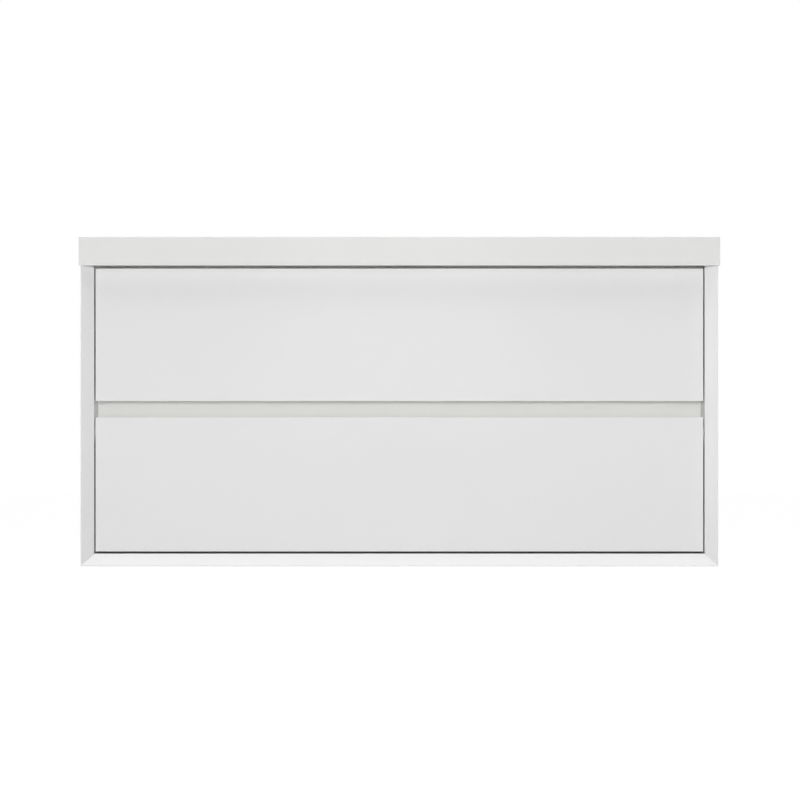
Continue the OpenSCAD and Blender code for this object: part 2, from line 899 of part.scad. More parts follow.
module upper_right_outer_slide() at_runner(right, upper_runner_z) outer_slide();

module upper_right_outer_cage() at_runner(right, upper_runner_z) outer_cage();

module upper_right_middle_slide() at_runner(right, upper_runner_z) middle_slide();

module upper_right_inner_cage() at_runner(right, upper_runner_z) inner_cage();

module upper_right_inner_slide() at_runner(right, upper_runner_z) inner_slide();

module upper_right_release_lever() at_runner(right, upper_runner_z) release_lever();

module lower_left_outer_slide() at_runner(left, lower_runner_z) outer_slide();

module lower_left_outer_cage() at_runner(left, lower_runner_z) outer_cage();

module lower_left_middle_slide() at_runner(left, lower_runner_z) middle_slide();

module lower_left_inner_cage() at_runner(left, lower_runner_z) inner_cage();

module lower_left_inner_slide() at_runner(left, lower_runner_z) inner_slide();

module lower_left_release_lever() at_runner(left, lower_runner_z) release_lever();

module lower_right_outer_slide() at_runner(right, lower_runner_z) outer_slide();

module lower_right_outer_cage() at_runner(right, lower_runner_z) outer_cage();

module lower_right_middle_slide() at_runner(right, lower_runner_z) middle_slide();

module lower_right_inner_cage() at_runner(right, lower_runner_z) inner_cage();

module lower_right_inner_slide() at_runner(right, lower_runner_z) inner_slide();

module lower_right_release_lever() at_runner(right, lower_runner_z) release_lever();

// ---- Drawers ----

// A drawer front with eased edges.
// Its finger bevel runs along its lower edge where under is 1, and along its upper edge where it is 0.
module drawer_front(z0, z1, under, box_z, box_h) {
    height = z1 - z0;
    cut = front_t - grip_edge_t;
    grip_z = under == 1 ? z0 : z1;
    color(white_lacquer)
        difference() {
            translate([0, front_back_y, (z0 + z1) / 2])
                rotate([90, 0, 0])
                    edged_slab(front_w - 2 * front_edge_r, height - 2 * front_edge_r, 0, front_t)
                        eased_section(front_t, front_edge_r, 0);
            translate([-front_w / 2 - over, 0, grip_z])
                mirror([0, 0, under == 1 ? 0 : 1])
                    rotate([90, 0, 90])
                        linear_extrude(front_w + 2 * over)
                            polygon([[face_y + grip_edge_t, -over], [face_y + grip_edge_t, 0],
                                [front_back_y, cut], [front_back_y + over, cut],
                                [front_back_y + over, -over]]);
            front_screws(box_z, box_h) pan_screw_hole(front_screw_len);
        }
}

// Puts its child at each screw that holds a front to its box, pointing towards the box's inside.
module front_screws(box_z, box_h) {
    for (screw_x = front_screw_x, screw_z = [box_z + screw_row_inset, box_z + box_h - screw_row_inset])
        translate([screw_x, box_front_y + box_t, screw_z])
            rotate([-90, 0, 0])
                children();
}

// Plan of a drawer bottom, housed in the walls on all sides; room is the slot's clearance round it.
module bottom_plan(room) {
    translate([-box_inner_w / 2 - housing - room, box_front_y + box_t - housing - room])
        square([box_inner_w + 2 * (housing + room), box_len - 2 * box_t + 2 * (housing + room)]);
}

// The same, with the plumbing bay left open at the back.
module bay_bottom_plan(room) {
    open_w = bay_outer_w - 2 * (housing + room);
    difference() {
        bottom_plan(room);
        translate([-open_w / 2, -bay_front - bay_t + housing + room])
            square([open_w, bay_front + bay_t]);
    }
}

// A drawer bottom, or with some room the slot that it sits in.
module bottom_board(box_z, room) {
    translate([0, 0, box_z + bottom_up - room])
        linear_extrude(bottom_t + 2 * room)
            children();
}

module box_side(side, box_z, box_h, runner_z) {
    color(pale_board)
        difference() {
            mirror([side > 0 ? 0 : 1, 0, 0])
                block([box_w / 2 - box_t, box_front_y, box_z], [box_w / 2, box_back_y, box_z + box_h]);
            children();
            at_runner(side, runner_z)
                inner_slide_screws() pan_screw_hole(short_screw);
        }
}

module box_front(box_z, box_h) {
    color(pale_board)
        difference() {
            centred_block(box_inner_w, box_front_y, box_front_y + box_t, box_z, box_z + box_h);
            children();
            front_screws(box_z, box_h) pan_screw_hole(front_screw_len);
        }
}

// The screws of one drawer: those in its front and those in its two inner members.
module drawer_screws(box_z, box_h, runner_z) {
    color(zinc) {
        front_screws(box_z, box_h) pan_screw(front_screw_len);
        for (side = ends)
            at_runner(side, runner_z)
                inner_slide_screws() pan_screw(short_screw);
    }
}

module upper_slot() bottom_board(upper_box_z, slot_play) bay_bottom_plan(slot_play);

module upper_drawer_front()
    drawer_front(upper_front_bottom, upper_front_top, 1, upper_box_z, upper_box_h);

module upper_box_front() box_front(upper_box_z, upper_box_h) upper_slot();

module upper_box_side_left() box_side(left, upper_box_z, upper_box_h, upper_runner_z) upper_slot();

module upper_box_side_right() box_side(right, upper_box_z, upper_box_h, upper_runner_z) upper_slot();

// One of the two short backs beside the plumbing bay.
module upper_box_back(side) {
    color(pale_board)
        difference() {
            mirror([side > 0 ? 0 : 1, 0, 0])
                block([bay_outer_w / 2, box_back_y - box_t, upper_box_z],
                    [box_inner_w / 2, box_back_y, upper_box_z + upper_box_h]);
            upper_slot();
        }
}

module upper_box_back_left() upper_box_back(left);

module upper_box_back_right() upper_box_back(right);

module upper_box_bottom() {
    color(pale_board)
        bottom_board(upper_box_z, 0)
            bay_bottom_plan(0);
}

module bay_side(side) {
    color(pale_board)
        difference() {
            mirror([side > 0 ? 0 : 1, 0, 0])
                block([bay_w / 2, -bay_front - bay_t, upper_box_z],
                    [bay_outer_w / 2, box_back_y, upper_box_z + upper_box_h]);
            upper_slot();
        }
}

module bay_side_left() bay_side(left);

module bay_side_right() bay_side(right);

module bay_front_wall() {
    color(pale_board)
        difference() {
            centred_block(bay_w, -bay_front - bay_t, -bay_front, upper_box_z, upper_box_z + upper_box_h);
            upper_slot();
        }
}

module upper_drawer_screws() drawer_screws(upper_box_z, upper_box_h, upper_runner_z);

module lower_slot() bottom_board(lower_box_z, slot_play) bottom_plan(slot_play);

module lower_drawer_front()
    drawer_front(lower_front_bottom, lower_front_top, 0, lower_box_z, lower_box_h);

module lower_box_front() box_front(lower_box_z, lower_box_h) lower_slot();

module lower_box_side_left() box_side(left, lower_box_z, lower_box_h, lower_runner_z) lower_slot();

module lower_box_side_right() box_side(right, lower_box_z, lower_box_h, lower_runner_z) lower_slot();

module lower_box_back() {
    color(pale_board)
        difference() {
            centred_block(box_inner_w, box_back_y - box_t, box_back_y,
                lower_box_z, lower_box_z + lower_box_h);
            lower_slot();
        }
}

module lower_box_bottom() {
    color(pale_board)
        bottom_board(lower_box_z, 0)
            bottom_plan(0);
}

module lower_drawer_screws() drawer_screws(lower_box_z, lower_box_h, lower_runner_z);

sink_top();
overflow_ring();
side_panel_left();
side_panel_right();
bottom_panel();
upper_back_rail();
lower_back_rail();
front_rail();
grip_rail();
wall_plates();
corner_brackets();
bracket_screws();
runner_screws();
runner_buffers();
closing_pad();
upper_left_outer_slide();
upper_left_outer_cage();
upper_left_middle_slide();
upper_left_inner_cage();
upper_left_inner_slide();
upper_left_release_lever();
upper_right_outer_slide();
upper_right_outer_cage();
upper_right_middle_slide();
upper_right_inner_cage();
upper_right_inner_slide();
upper_right_release_lever();
lower_left_outer_slide();
lower_left_outer_cage();
lower_left_middle_slide();
lower_left_inner_cage();
lower_left_inner_slide();
lower_left_release_lever();
lower_right_outer_slide();
lower_right_outer_cage();
lower_right_middle_slide();
lower_right_inner_cage();
lower_right_inner_slide();
lower_right_release_lever();
upper_drawer_front();
upper_box_front();
upper_box_side_left();
upper_box_side_right();
upper_box_back_left();
upper_box_back_right();
upper_box_bottom();
bay_side_left();
bay_side_right();
bay_front_wall();
upper_drawer_screws();
lower_drawer_front();
lower_box_front();
lower_box_side_left();
lower_box_side_right();
lower_box_back();
lower_box_bottom();
lower_drawer_screws();
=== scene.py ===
"""Models and finishes a wall-hung vanity: cast sink top, bevel-edged cabinet, two handleless drawers."""

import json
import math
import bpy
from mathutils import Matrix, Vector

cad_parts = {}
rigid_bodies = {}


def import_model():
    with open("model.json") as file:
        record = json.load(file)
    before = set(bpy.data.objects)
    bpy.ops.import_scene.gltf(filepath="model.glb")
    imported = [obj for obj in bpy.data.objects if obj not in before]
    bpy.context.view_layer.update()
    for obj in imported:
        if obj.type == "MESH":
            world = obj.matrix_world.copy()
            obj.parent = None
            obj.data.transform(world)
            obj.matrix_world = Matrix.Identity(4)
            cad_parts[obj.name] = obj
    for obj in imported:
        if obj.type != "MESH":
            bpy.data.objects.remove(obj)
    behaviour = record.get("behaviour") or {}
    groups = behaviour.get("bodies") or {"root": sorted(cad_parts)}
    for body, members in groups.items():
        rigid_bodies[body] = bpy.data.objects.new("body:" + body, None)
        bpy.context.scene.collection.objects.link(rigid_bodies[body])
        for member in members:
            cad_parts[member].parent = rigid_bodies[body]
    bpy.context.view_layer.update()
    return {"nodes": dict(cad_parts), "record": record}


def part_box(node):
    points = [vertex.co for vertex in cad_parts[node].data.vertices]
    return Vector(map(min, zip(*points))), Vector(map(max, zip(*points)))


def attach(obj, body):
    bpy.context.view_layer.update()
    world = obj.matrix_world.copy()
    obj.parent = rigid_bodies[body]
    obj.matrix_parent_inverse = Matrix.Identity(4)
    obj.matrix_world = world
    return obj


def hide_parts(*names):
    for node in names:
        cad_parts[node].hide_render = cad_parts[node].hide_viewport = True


bl_info = {
    "name": "Floating Vanity",
    "version": (1, 0, 0),
    "blender": (4, 5, 0),
    "location": "View3D > Sidebar > Vanity",
    "description": "Models a wall-hung vanity piece by piece, with its finishes",
    "category": "Object",
}

import bmesh
import bpy
from bpy.props import FloatProperty, FloatVectorProperty, PointerProperty
from mathutils import Matrix, Vector

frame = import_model()

MM = 0.001
OVER = 1 * MM  # how far a cutting shape runs past a face
BEYOND = 10 * MM  # how far the bay's cutter runs past the drawer bottom
INTO_RAIL = 10 * MM  # from a washer plate's middle into the rail behind it
TOUCH = 0.01 * MM  # coordinates closer than this are the same
MERGE = TOUCH / 5  # points closer than this become one
NEAR = TOUCH * 10  # points this close to a mitre plane lie in it
SHARP = math.radians(30)
FLAT = math.radians(0.5)
LEVELS = ("upper", "lower")
RUNNERS = [f"{level}_{side}" for level in LEVELS for side in ("left", "right")]


# ---- Properties ----


def linear(code):
    """Linear RGB of an sRGB hex colour."""
    parts = [int(code[i : i + 2], 16) / 255 for i in (1, 3, 5)]
    return [p / 12.92 if p <= 0.04045 else ((p + 0.055) / 1.055) ** 2.4 for p in parts]


def length(name, description, millimetres):
    """A length property, with its default given in millimetres."""
    return FloatProperty(
        name=name, description=description, default=millimetres * MM, min=0, precision=5, unit="LENGTH"
    )


def colour(name, description, code):
    """A colour property, with its default given as an sRGB hex colour."""
    return FloatVectorProperty(
        name=name, description=description, default=linear(code), min=0, max=1, size=3, subtype="COLOR"
    )


class VanitySinkSizes(bpy.types.PropertyGroup):
    """Sizes of the cast sink top that its box doesn't give."""

    edge: length("Edge radius", "Radius on the top's edges", 0.6)
    deck: length("Deck thickness", "Deck between the ribs", 16)
    apron: length("Apron thickness", "Aprons round the hollow", 22)
    rib: length("Rib thickness", "Ribs under the deck", 12)
    rib_rise: length("Rib rise", "Underside to the ribs beside the basin", 12)
    basin_width: length("Basin width", "Basin width at the rim", 560)
    basin_front: length("Basin front margin", "Front edge to the basin's rim", 80)
    basin_back: length("Basin back margin", "Wall to the basin's rim", 105)
    basin_depth: length("Basin depth", "Depth below the deck", 125)
    basin_wall: length("Basin wall", "Thickness of the wall", 12)
    corner: length("Basin corner radius", "Plan radius at the rim", 70)
    floor_radius: length("Basin floor radius", "Radius between wall and floor", 30)
    rim_radius: length("Basin rim radius", "Radius of the rim at the deck", 6)
    lean: FloatProperty(
        name="Basin lean", description="Lean of the walls", default=math.radians(6), min=0, subtype="ANGLE"
    )
    drain: length("Drain bore", "Diameter of the drain bore", 45)
    drain_back: length("Drain distance", "Wall to the drain's axis", 215)
    dish: length("Drain dish", "Dish that falls to the drain", 96)
    fall: length("Floor fall", "Fall of the floor in that dish", 3)
    boss: length("Drain boss", "Boss round the drain", 76)
    tap_hole: length("Tap hole", "Diameter of the tap hole", 35)
    tap_back: length("Tap distance", "Wall to the tap hole's axis", 53)
    tap_pad: length("Tap pad width", "Pad round the tap hole", 16)
    tap_pad_depth: length("Tap pad depth", "Pad below the deck", 8)
    overflow: length("Overflow hole", "Diameter of the overflow hole", 24)
    overflow_down: length("Overflow depth", "Deck to the overflow's axis", 42)
    channel_width: length("Channel width", "Inside width of the channel", 24)
    channel_depth: length("Channel depth", "Inside depth of the channel", 6)
    channel_wall: length("Channel wall", "Thickness of the channel's wall", 5)
    channel_drop: length("Channel drop", "Basin shell to the channel", 2)
    mouth: length("Hole easing", "Radius on the mouths of the holes", 1)


class VanityCabinetSizes(bpy.types.PropertyGroup):
    """Sizes of the cabinet and drawers that their boxes don't give."""

    panel_rim: length("Panel rim", "Flat rim outside the front bevel", 1.5)
    board_ease: length("Board easing", "Radius on panels' and boards' edges", 0.5)
    front_edge: length("Front edge radius", "Radius on the fronts' outer edges", 0.7)
    finger_edge: length("Finger edge", "Front's thickness at the finger gap", 7)
    housing: length("Housing", "Depth of a drawer bottom in its walls", 5.5)
    slot_play: length("Slot play", "Clearance round that bottom", 0.2)
    bolt_hole: length("Bolt hole", "Diameter of the wall-bolt holes", 9)
    plate_corner: length("Plate corner", "Corner radius of the washer plates", 4)
    small_ease: length("Small easing", "Radius on stamped steel and levers", 0.3)
    bracket_thickness: length("Bracket thickness", "Thickness of the brackets", 2)
    bracket_bend: length("Bracket bend", "Outer radius of the bend", 1.6)
    bracket_corner: length("Bracket corner", "Radius on the legs' ends", 5)
    lever_bar: length("Lever bar", "Height of the lever's bar", 7)
    lever_hole: length("Lever hole", "Hole on the lever's pin", 5.2)
    lever_groove: length("Lever groove", "Width of the lever's grip grooves", 0.9)
    groove_pitch: length("Groove pitch", "From one grip groove to the next", 2.16)
    rubber_ease: length("Rubber easing", "Radius on the rubber's edges", 0.8)


class VanityColours(bpy.types.PropertyGroup):
    """Main colour of each finish."""

    lacquer: colour("Lacquer", "Gloss lacquer of cabinet and fronts", "#E4E4E4")
    cast: colour("Cast top", "Gloss white cast top", "#E1E1E0")
    # the rails' white is painted light: it is set above the cabinet's lacquer to lift the shade in the finger
    # groove, and all four rails share it
    rail: colour("Rails", "Satin white lacquer of the rails", "#F6F6F3")
    board: colour("Drawer board", "Linen melamine of the drawer boxes", "#C9C6BF")
    zinc: colour("Zinc plate", "Bright zinc plate on steel", "#C6C9CD")
    ball_steel: colour("Ball steel", "Plain steel of the cages and balls", "#A9ABAE")
    chrome: colour("Chrome", "Chrome plate of the overflow ring", "#D6D7DA")
    plastic: colour("Black plastic", "Moulded plastic of the release levers", "#1D1D1E")
    rubber: colour("Grey rubber", "Pale rubber of the pad and buffers", "#DAD7D1")


# ---- Modelling ----


def activate(piece):
    """Selects piece alone and makes it active."""
    bpy.ops.object.select_all(action="DESELECT")
    piece.select_set(True)
    bpy.context.view_layer.objects.active = piece


def settle_mesh(piece):
    """Moves the object's place into its mesh, so that it sits at the origin."""
    activate(piece)
    bpy.ops.object.transform_apply(location=True, rotation=True, scale=True)
    return piece


def named(piece, name):
    """Gives a piece and its data one name."""
    piece.name = piece.data.name = name
    return piece


def box_of(points):
    """Lowest and highest corner of some points."""
    return Vector(map(min, *points)), Vector(map(max, *points))


def block(name, *corners):
    """The box round two opposite corners, or round more points."""
    low, high = box_of(corners)
    bpy.ops.object.select_all(action="DESELECT")
    bpy.ops.mesh.primitive_cube_add(size=1, location=(low + high) / 2, scale=high - low)
    return settle_mesh(named(bpy.context.object, name))


def rod(name, start, end, radius, vertices=48):
    """A round bar between two points."""
    start, end = Vector(start), Vector(end)
    turn = (end - start).to_track_quat("Z", "Y").to_euler()
    bpy.ops.object.select_all(action="DESELECT")
    place = {"depth": (end - start).length, "location": (start + end) / 2, "rotation": turn}
    bpy.ops.mesh.primitive_cylinder_add(vertices=vertices, radius=radius, **place)
    return settle_mesh(named(bpy.context.object, name))


def is_sharp(edge):
    """Whether two faces meet at an edge with a clear corner."""
    return len(edge.link_faces) == 2 and edge.calc_face_angle() > SHARP


def pick(piece, kind, test=None, sharp=False):
    """Opens piece in edit mode and selects the items, or the sharp ones, whose corners pass test."""
    activate(piece)
    bpy.ops.object.mode_set(mode="EDIT")
    bpy.ops.mesh.select_mode(type=kind)
    bpy.ops.mesh.select_all(action="DESELECT")
    mesh = bmesh.from_edit_mesh(piece.data)
    items = {"VERT": mesh.verts, "EDGE": mesh.edges, "FACE": mesh.faces}[kind]
    for item in items:
        corners = [item.co] if kind == "VERT" else [v.co for v in item.verts]
        if (not sharp or is_sharp(item)) and (not test or test(corners)):
            item.select_set(True)
    bmesh.update_edit_mesh(piece.data)


def close_edit():
    """Goes back to object mode."""
    bpy.ops.object.mode_set(mode="OBJECT")


def lie_at(corners, axis, value):
    """Whether all the corners have that coordinate."""
    return all(abs(c[axis] - value) < TOUCH for c in corners)


def along(*places):
    """A test for items whose corners all have those coordinates, given as (axis, value) pairs."""
    return lambda corners: all(lie_at(corners, axis, value) for axis, value in places)


def bevel(piece, test, width, segments=1, sharp=False):
    """Bevels the edges, or the sharp ones, whose corners pass test."""
    pick(piece, "EDGE", test, sharp)
    bpy.ops.mesh.bevel(
        offset_type="OFFSET", offset=width, segments=segments, profile=0.5, affect="EDGES", clamp_overlap=True
    )
    close_edit()


def ease(piece, width, segments=2, keep=None):
    """Rounds every sharp edge, apart from those for which keep(corners) holds."""
    bevel(piece, lambda corners: not (keep and keep(corners)), width, segments, sharp=True)
    return piece


def combine(piece, other, operation="DIFFERENCE"):
    """Cuts other out of piece, or adds it, and removes it."""
    activate(piece)
    bpy.ops.object.modifier_add(type="BOOLEAN")
    modifier = piece.modifiers[-1]
    modifier.operation, modifier.solver, modifier.object = operation, "EXACT", other
    bpy.ops.object.modifier_apply(modifier=modifier.name)
    bpy.data.objects.remove(other)
    return piece


def drill(piece, axis, centre, low, high, diameter):
    """Drills a round hole along an axis, right through a piece with those corners."""
    start, end = Vector(centre), Vector(centre)
    start[axis], end[axis] = low[axis] - OVER, high[axis] + OVER
    return combine(piece, rod("hole", start, end, diameter / 2))


def join(pieces, name):
    """Joins pieces into one object."""
    activate(pieces[0])
    if len(pieces) > 1:
        for piece in pieces:
            piece.select_set(True)
        bpy.ops.object.join()
    return named(bpy.context.object, name)


def copy_at(model, name, matrix):
    """A free copy of model with its own mesh, put in place by matrix."""
    piece = model.copy()
    piece.data = model.data.copy()
    piece.parent = None
    bpy.context.scene.collection.objects.link(piece)
    piece.hide_viewport = False
    named(piece, name)
    piece.matrix_world = matrix
    return settle_mesh(piece)


def node_copy(node, name):
    """A free copy of a carried-over node."""
    return copy_at(frame["nodes"][node], name, Matrix.Identity(4))


def turned(name, profile, steps=64):
    """A solid turned about Z from a line of (radius, height) points that starts and ends on the axis."""
    points = [Vector((radius, 0, height)) for radius, height in profile]
    bpy.ops.object.select_all(action="DESELECT")
    bpy.ops.mesh.primitive_plane_add(size=1)
    piece = named(bpy.context.object, name)
    bpy.ops.object.mode_set(mode="EDIT")
    bpy.ops.mesh.select_mode(type="VERT")
    bpy.ops.mesh.select_all(action="SELECT")
    bpy.ops.mesh.merge(type="CENTER")
    bpy.ops.transform.translate(value=points[0])
    for before, after in zip(points, points[1:]):
        bpy.ops.mesh.extrude_region_move(TRANSFORM_OT_translate={"value": after - before})
    bpy.ops.mesh.select_all(action="SELECT")
    bpy.ops.mesh.spin(steps=steps, angle=math.tau, center=(0, 0, 0), axis=(0, 0, 1))
    bpy.ops.mesh.select_all(action="SELECT")
    bpy.ops.mesh.remove_doubles(threshold=MERGE)
    bpy.ops.mesh.normals_make_consistent(inside=False)
    close_edit()
    return piece


def arc(centre, radius, start, end, count):
    """Points of an arc in the profile plane, between two angles in degrees."""
    angles = [math.radians(start + (end - start) * i / count) for i in range(count + 1)]
    return [(centre[0] + radius * math.cos(a), centre[1] + radius * math.sin(a)) for a in angles]


def shade(piece):
    """Smooths the curved faces and keeps the flat ones flat."""
    activate(piece)
    bpy.ops.object.shade_smooth_by_angle(angle=SHARP)
    bpy.ops.object.modifier_add(type="WEIGHTED_NORMAL")
    piece.modifiers[-1].keep_sharp = True
    bpy.ops.object.modifier_apply(modifier=piece.modifiers[-1].name)


def body_of(node):
    """The body that a node belongs to."""
    return next(name for name, nodes in frame["record"]["behaviour"]["bodies"].items() if node in nodes)


def finish_piece(piece, finish, node):
    """Shades a new piece, gives it its finish and body, and lets it stand for its node, which it hides."""
    shade(piece)
    piece.data.materials.clear()
    piece.data.materials.append(bpy.data.materials[finish])
    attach(piece, body_of(node))
    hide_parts(node)


def loose_parts(node):
    """The points of each separate solid in a node."""
    piece = node_copy(node, "parts")
    before = set(bpy.data.objects)
    pick(piece, "VERT")
    bpy.ops.mesh.remove_doubles(threshold=TOUCH)
    bpy.ops.mesh.separate(type="LOOSE")
    close_edit()
    found = [piece, *(o for o in bpy.data.objects if o not in before)]
    parts = [[v.co.copy() for v in o.data.vertices] for o in found]
    for o in found:
        bpy.data.objects.remove(o)
    return parts


# ---- Finishes ----

SHADER = "Principled BSDF"
MIX_FIRST, MIX_SECOND, MIX_RESULT = 6, 7, 2  # a Mix node's sockets for colours
THREAD_MM = 2.4  # spacing of the linen's threads; the real ones are near 0.8, too fine to show


def add_node(tree, kind, settings=None, inputs=None):
    """Adds a node with settings, and fills its inputs with values or other nodes' outputs."""
    node = tree.nodes.new(kind)
    for key, value in (settings or {}).items():
        setattr(node, key, value)
    for key, value in (inputs or {}).items():
        if isinstance(value, bpy.types.NodeSocket):
            tree.links.new(value, node.inputs[key])
        else:
            node.inputs[key].default_value = value
    return node


def per(millimetres):
    """Texture scale that gives features of that size."""
    return 1 / (millimetres * MM)


def rgba(value, factor=1):
    """A linear colour times a factor, with full opacity."""
    return [channel * factor for channel in value] + [1]


def noise(tree, millimetres, stretch=(1, 1, 1), detail=2):
    """Noise with features of that size on the piece's own coordinates, longer where stretch is below 1."""
    place = add_node(tree, "ShaderNodeTexCoord").outputs["Object"]
    mapping = add_node(tree, "ShaderNodeMapping", inputs={"Vector": place, "Scale": stretch})
    inputs = {"Vector": mapping.outputs[0], "Scale": per(millimetres), "Detail": detail}
    return add_node(tree, "ShaderNodeTexNoise", inputs=inputs).outputs["Fac"]


def threads(tree, axis):
    """Bands across one axis at the threads' spacing, slightly uneven as woven threads are."""
    place = add_node(tree, "ShaderNodeTexCoord").outputs["Object"]
    settings = {"wave_type": "BANDS", "bands_direction": axis, "wave_profile": "SIN"}
    scale = per(THREAD_MM) * math.pi / 10  # a wave repeats every pi / 10 of its scaled coordinate
    inputs = {"Vector": place, "Scale": scale, "Distortion": 0.6, "Detail Scale": 3}
    return add_node(tree, "ShaderNodeTexWave", settings, inputs).outputs["Fac"]


def calculate(tree, operation, first, second):
    """The result of a Math node on two outputs or values."""
    return add_node(tree, "ShaderNodeMath", {"operation": operation}, {0: first, 1: second}).outputs[0]


def new_finish(name, **constants):
    """Makes a material with its shader's constants set, and gives its tree."""
    material = bpy.data.materials.new(name)
    material.use_nodes = True
    for key, value in constants.items():
        material.node_tree.nodes[SHADER].inputs[key.replace("_", " ")].default_value = value
    return material.node_tree


def tint(tree, factor, value, darkest, lightest):
    """Varies the finish's colour by a factor between two shares of it."""
    node = add_node(tree, "ShaderNodeMix", {"data_type": "RGBA"}, {"Factor": factor})
    node.inputs[MIX_FIRST].default_value = rgba(value, darkest)
    node.inputs[MIX_SECOND].default_value = rgba(value, lightest)
    tree.links.new(node.outputs[MIX_RESULT], tree.nodes[SHADER].inputs["Base Color"])


def roughen(tree, factor, low, high):
    """Spreads the finish's roughness over a range by a factor."""
    node = add_node(tree, "ShaderNodeMapRange", inputs={"Value": factor, "To Min": low, "To Max": high})
    tree.links.new(node.outputs["Result"], tree.nodes[SHADER].inputs["Roughness"])


def emboss(tree, height, depth_mm, below=None):
    """Gives the finish relief of that depth from a 0 to 1 height, on top of another relief."""
    inputs = {"Height": height, "Distance": depth_mm * MM}
    if below:
        inputs["Normal"] = below
    normal = add_node(tree, "ShaderNodeBump", inputs=inputs).outputs["Normal"]
    tree.links.new(normal, tree.nodes[SHADER].inputs["Normal"])
    return normal


def gloss_lacquer(colours):
    """Sprayed and polished lacquer on fibreboard: deep gloss, fine orange peel and a slow board wave."""
    tree = new_finish("gloss_white_lacquer", IOR=1.5)
    tint(tree, noise(tree, 180), colours.lacquer, 0.993, 1.005)
    roughen(tree, noise(tree, 40), 0.14, 0.2)
    peel = emboss(tree, noise(tree, 2.5), 0.004)
    emboss(tree, noise(tree, 90, detail=1), 0.05, below=peel)


def satin_lacquer(colours):
    """White lacquer on the rails, left as sprayed: a satin sheen with the fine pebble of the spray mist. Its
    white is painted light, set above the cabinet's to lift the shade in the finger groove.
    """
    tree = new_finish("satin_white_lacquer", IOR=1.5)
    pebble = noise(tree, 1.6)
    tint(tree, noise(tree, 140), colours.rail, 0.99, 1.005)
    roughen(tree, pebble, 0.34, 0.44)
    emboss(tree, pebble, 0.012)


def cast_composite(colours):
    """Cast acrylic and mineral composite with a gel coat: clean gloss, soft depth, hardly any texture."""
    tree = new_finish("cast_acrylic_composite", IOR=1.49)
    tint(tree, noise(tree, 120), colours.cast, 0.99, 1.005)
    roughen(tree, noise(tree, 25), 0.1, 0.16)
    emboss(tree, noise(tree, 60, detail=1), 0.03)


def linen_melamine(colours):
    """Melamine-faced board pressed with a linen print: crossed threads, matt, pale grey."""
    tree = new_finish("linen_melamine_board", IOR=1.5)
    across = calculate(tree, "MAXIMUM", threads(tree, "X"), threads(tree, "Y"))
    weave = calculate(tree, "MULTIPLY", across, threads(tree, "Z"))
    tint(tree, calculate(tree, "MULTIPLY", weave, noise(tree, 9, detail=3)), colours.board, 0.9, 1.12)
    roughen(tree, weave, 0.5, 0.62)
    emboss(tree, weave, 0.04)


def zinc_plate(colours):
    """Cold-rolled steel with bright zinc plate: faint rolling lines along the runner and a mild sheen."""
    tree = new_finish("bright_zinc_plate", Metallic=1)
    lines = noise(tree, 1.2, stretch=(1, 0.03, 1), detail=3)
    tint(tree, noise(tree, 18), colours.zinc, 0.92, 1.04)
    roughen(tree, lines, 0.26, 0.42)
    emboss(tree, lines, 0.006)


def bearing_steel(colours):
    """Plain stamped steel with a film of grease, and polished balls."""
    tree = new_finish("greased_bearing_steel", Metallic=1)
    film = noise(tree, 6, detail=3)
    tint(tree, film, colours.ball_steel, 0.85, 1.08)
    roughen(tree, film, 0.18, 0.36)
    emboss(tree, film, 0.004)


def chrome_plate(colours):
    """Polished chrome plate on brass: mirror gloss, with a trace of water haze."""
    tree = new_finish("polished_chrome_plate", Metallic=1)
    haze = noise(tree, 5)
    tint(tree, haze, colours.chrome, 0.97, 1.02)
    roughen(tree, haze, 0.05, 0.12)
    emboss(tree, haze, 0.002)


def moulded_plastic(colours):
    """Moulded black acetal: fine spark texture from the tool, satin."""
    tree = new_finish("moulded_black_acetal", IOR=1.48)
    grain = noise(tree, 0.5, detail=3)
    tint(tree, grain, colours.plastic, 0.85, 1.4)
    roughen(tree, grain, 0.38, 0.5)
    emboss(tree, grain, 0.02)


def soft_rubber(colours):
    """Moulded pale grey rubber: matt, with a dusty bloom."""
    tree = new_finish("moulded_grey_rubber", IOR=1.52)
    bloom = noise(tree, 3, detail=3)
    tint(tree, bloom, colours.rubber, 0.9, 1.12)
    roughen(tree, bloom, 0.7, 0.86)
    emboss(tree, bloom, 0.02)


FINISHES = (
    gloss_lacquer, satin_lacquer, cast_composite, linen_melamine, zinc_plate,
    bearing_steel, chrome_plate, moulded_plastic, soft_rubber,
)


class VANITY_OT_finishes(bpy.types.Operator):
    """Make the vanity's finishes"""

    bl_idname = "vanity.finishes"
    bl_label = "Finishes"

    def execute(self, context):
        for make in FINISHES:
            make(context.scene.vanity_colours)
        return {"FINISHED"}


# ---- Sink top ----

BOSS_SINK = 2 * MM  # the drain boss's top below the basin's floor
RING_REACH = 4 * MM  # the overflow ring's flange past the hole
RING_WALL = 3 * MM  # the hole's edge to the ring's bore
RING_RISE = 1.6 * MM  # thickness of the flange
RING_PLAY = 0.1 * MM  # clearance of the ring's sleeve in the hole
RING_SHORT = 2 * MM  # the sleeve's end to the basin wall's back
RING_OUTER, RING_INNER = 0.9 * MM, 1.4 * MM  # radii on the flange's edge and into the bore


def basin_centre(sizes):
    """The middle of the basin's floor, and its clear depth from front to back at the rim."""
    low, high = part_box("sink_top")
    reach = -low.y - sizes.basin_front - sizes.basin_back
    return Vector((0, -sizes.basin_back - reach / 2, high.z - sizes.basin_depth)), reach


def wall_offset(sizes, height, grow):
    """Distance of the basin's wall from the core rectangle, at a height above the floor."""
    inset = (sizes.basin_depth - height) * math.tan(sizes.lean)
    return sizes.corner - inset + grow / math.cos(sizes.lean)


def foot_profile(sizes, grow):
    """Half section of the basin's floor and foot; grow thickens it into the shell."""
    radius = sizes.floor_radius + grow
    centre_x = wall_offset(sizes, sizes.floor_radius, grow) - radius / math.cos(sizes.lean)
    return [(0, -grow), *arc((centre_x, sizes.floor_radius), radius, -90, -math.degrees(sizes.lean), 12)]


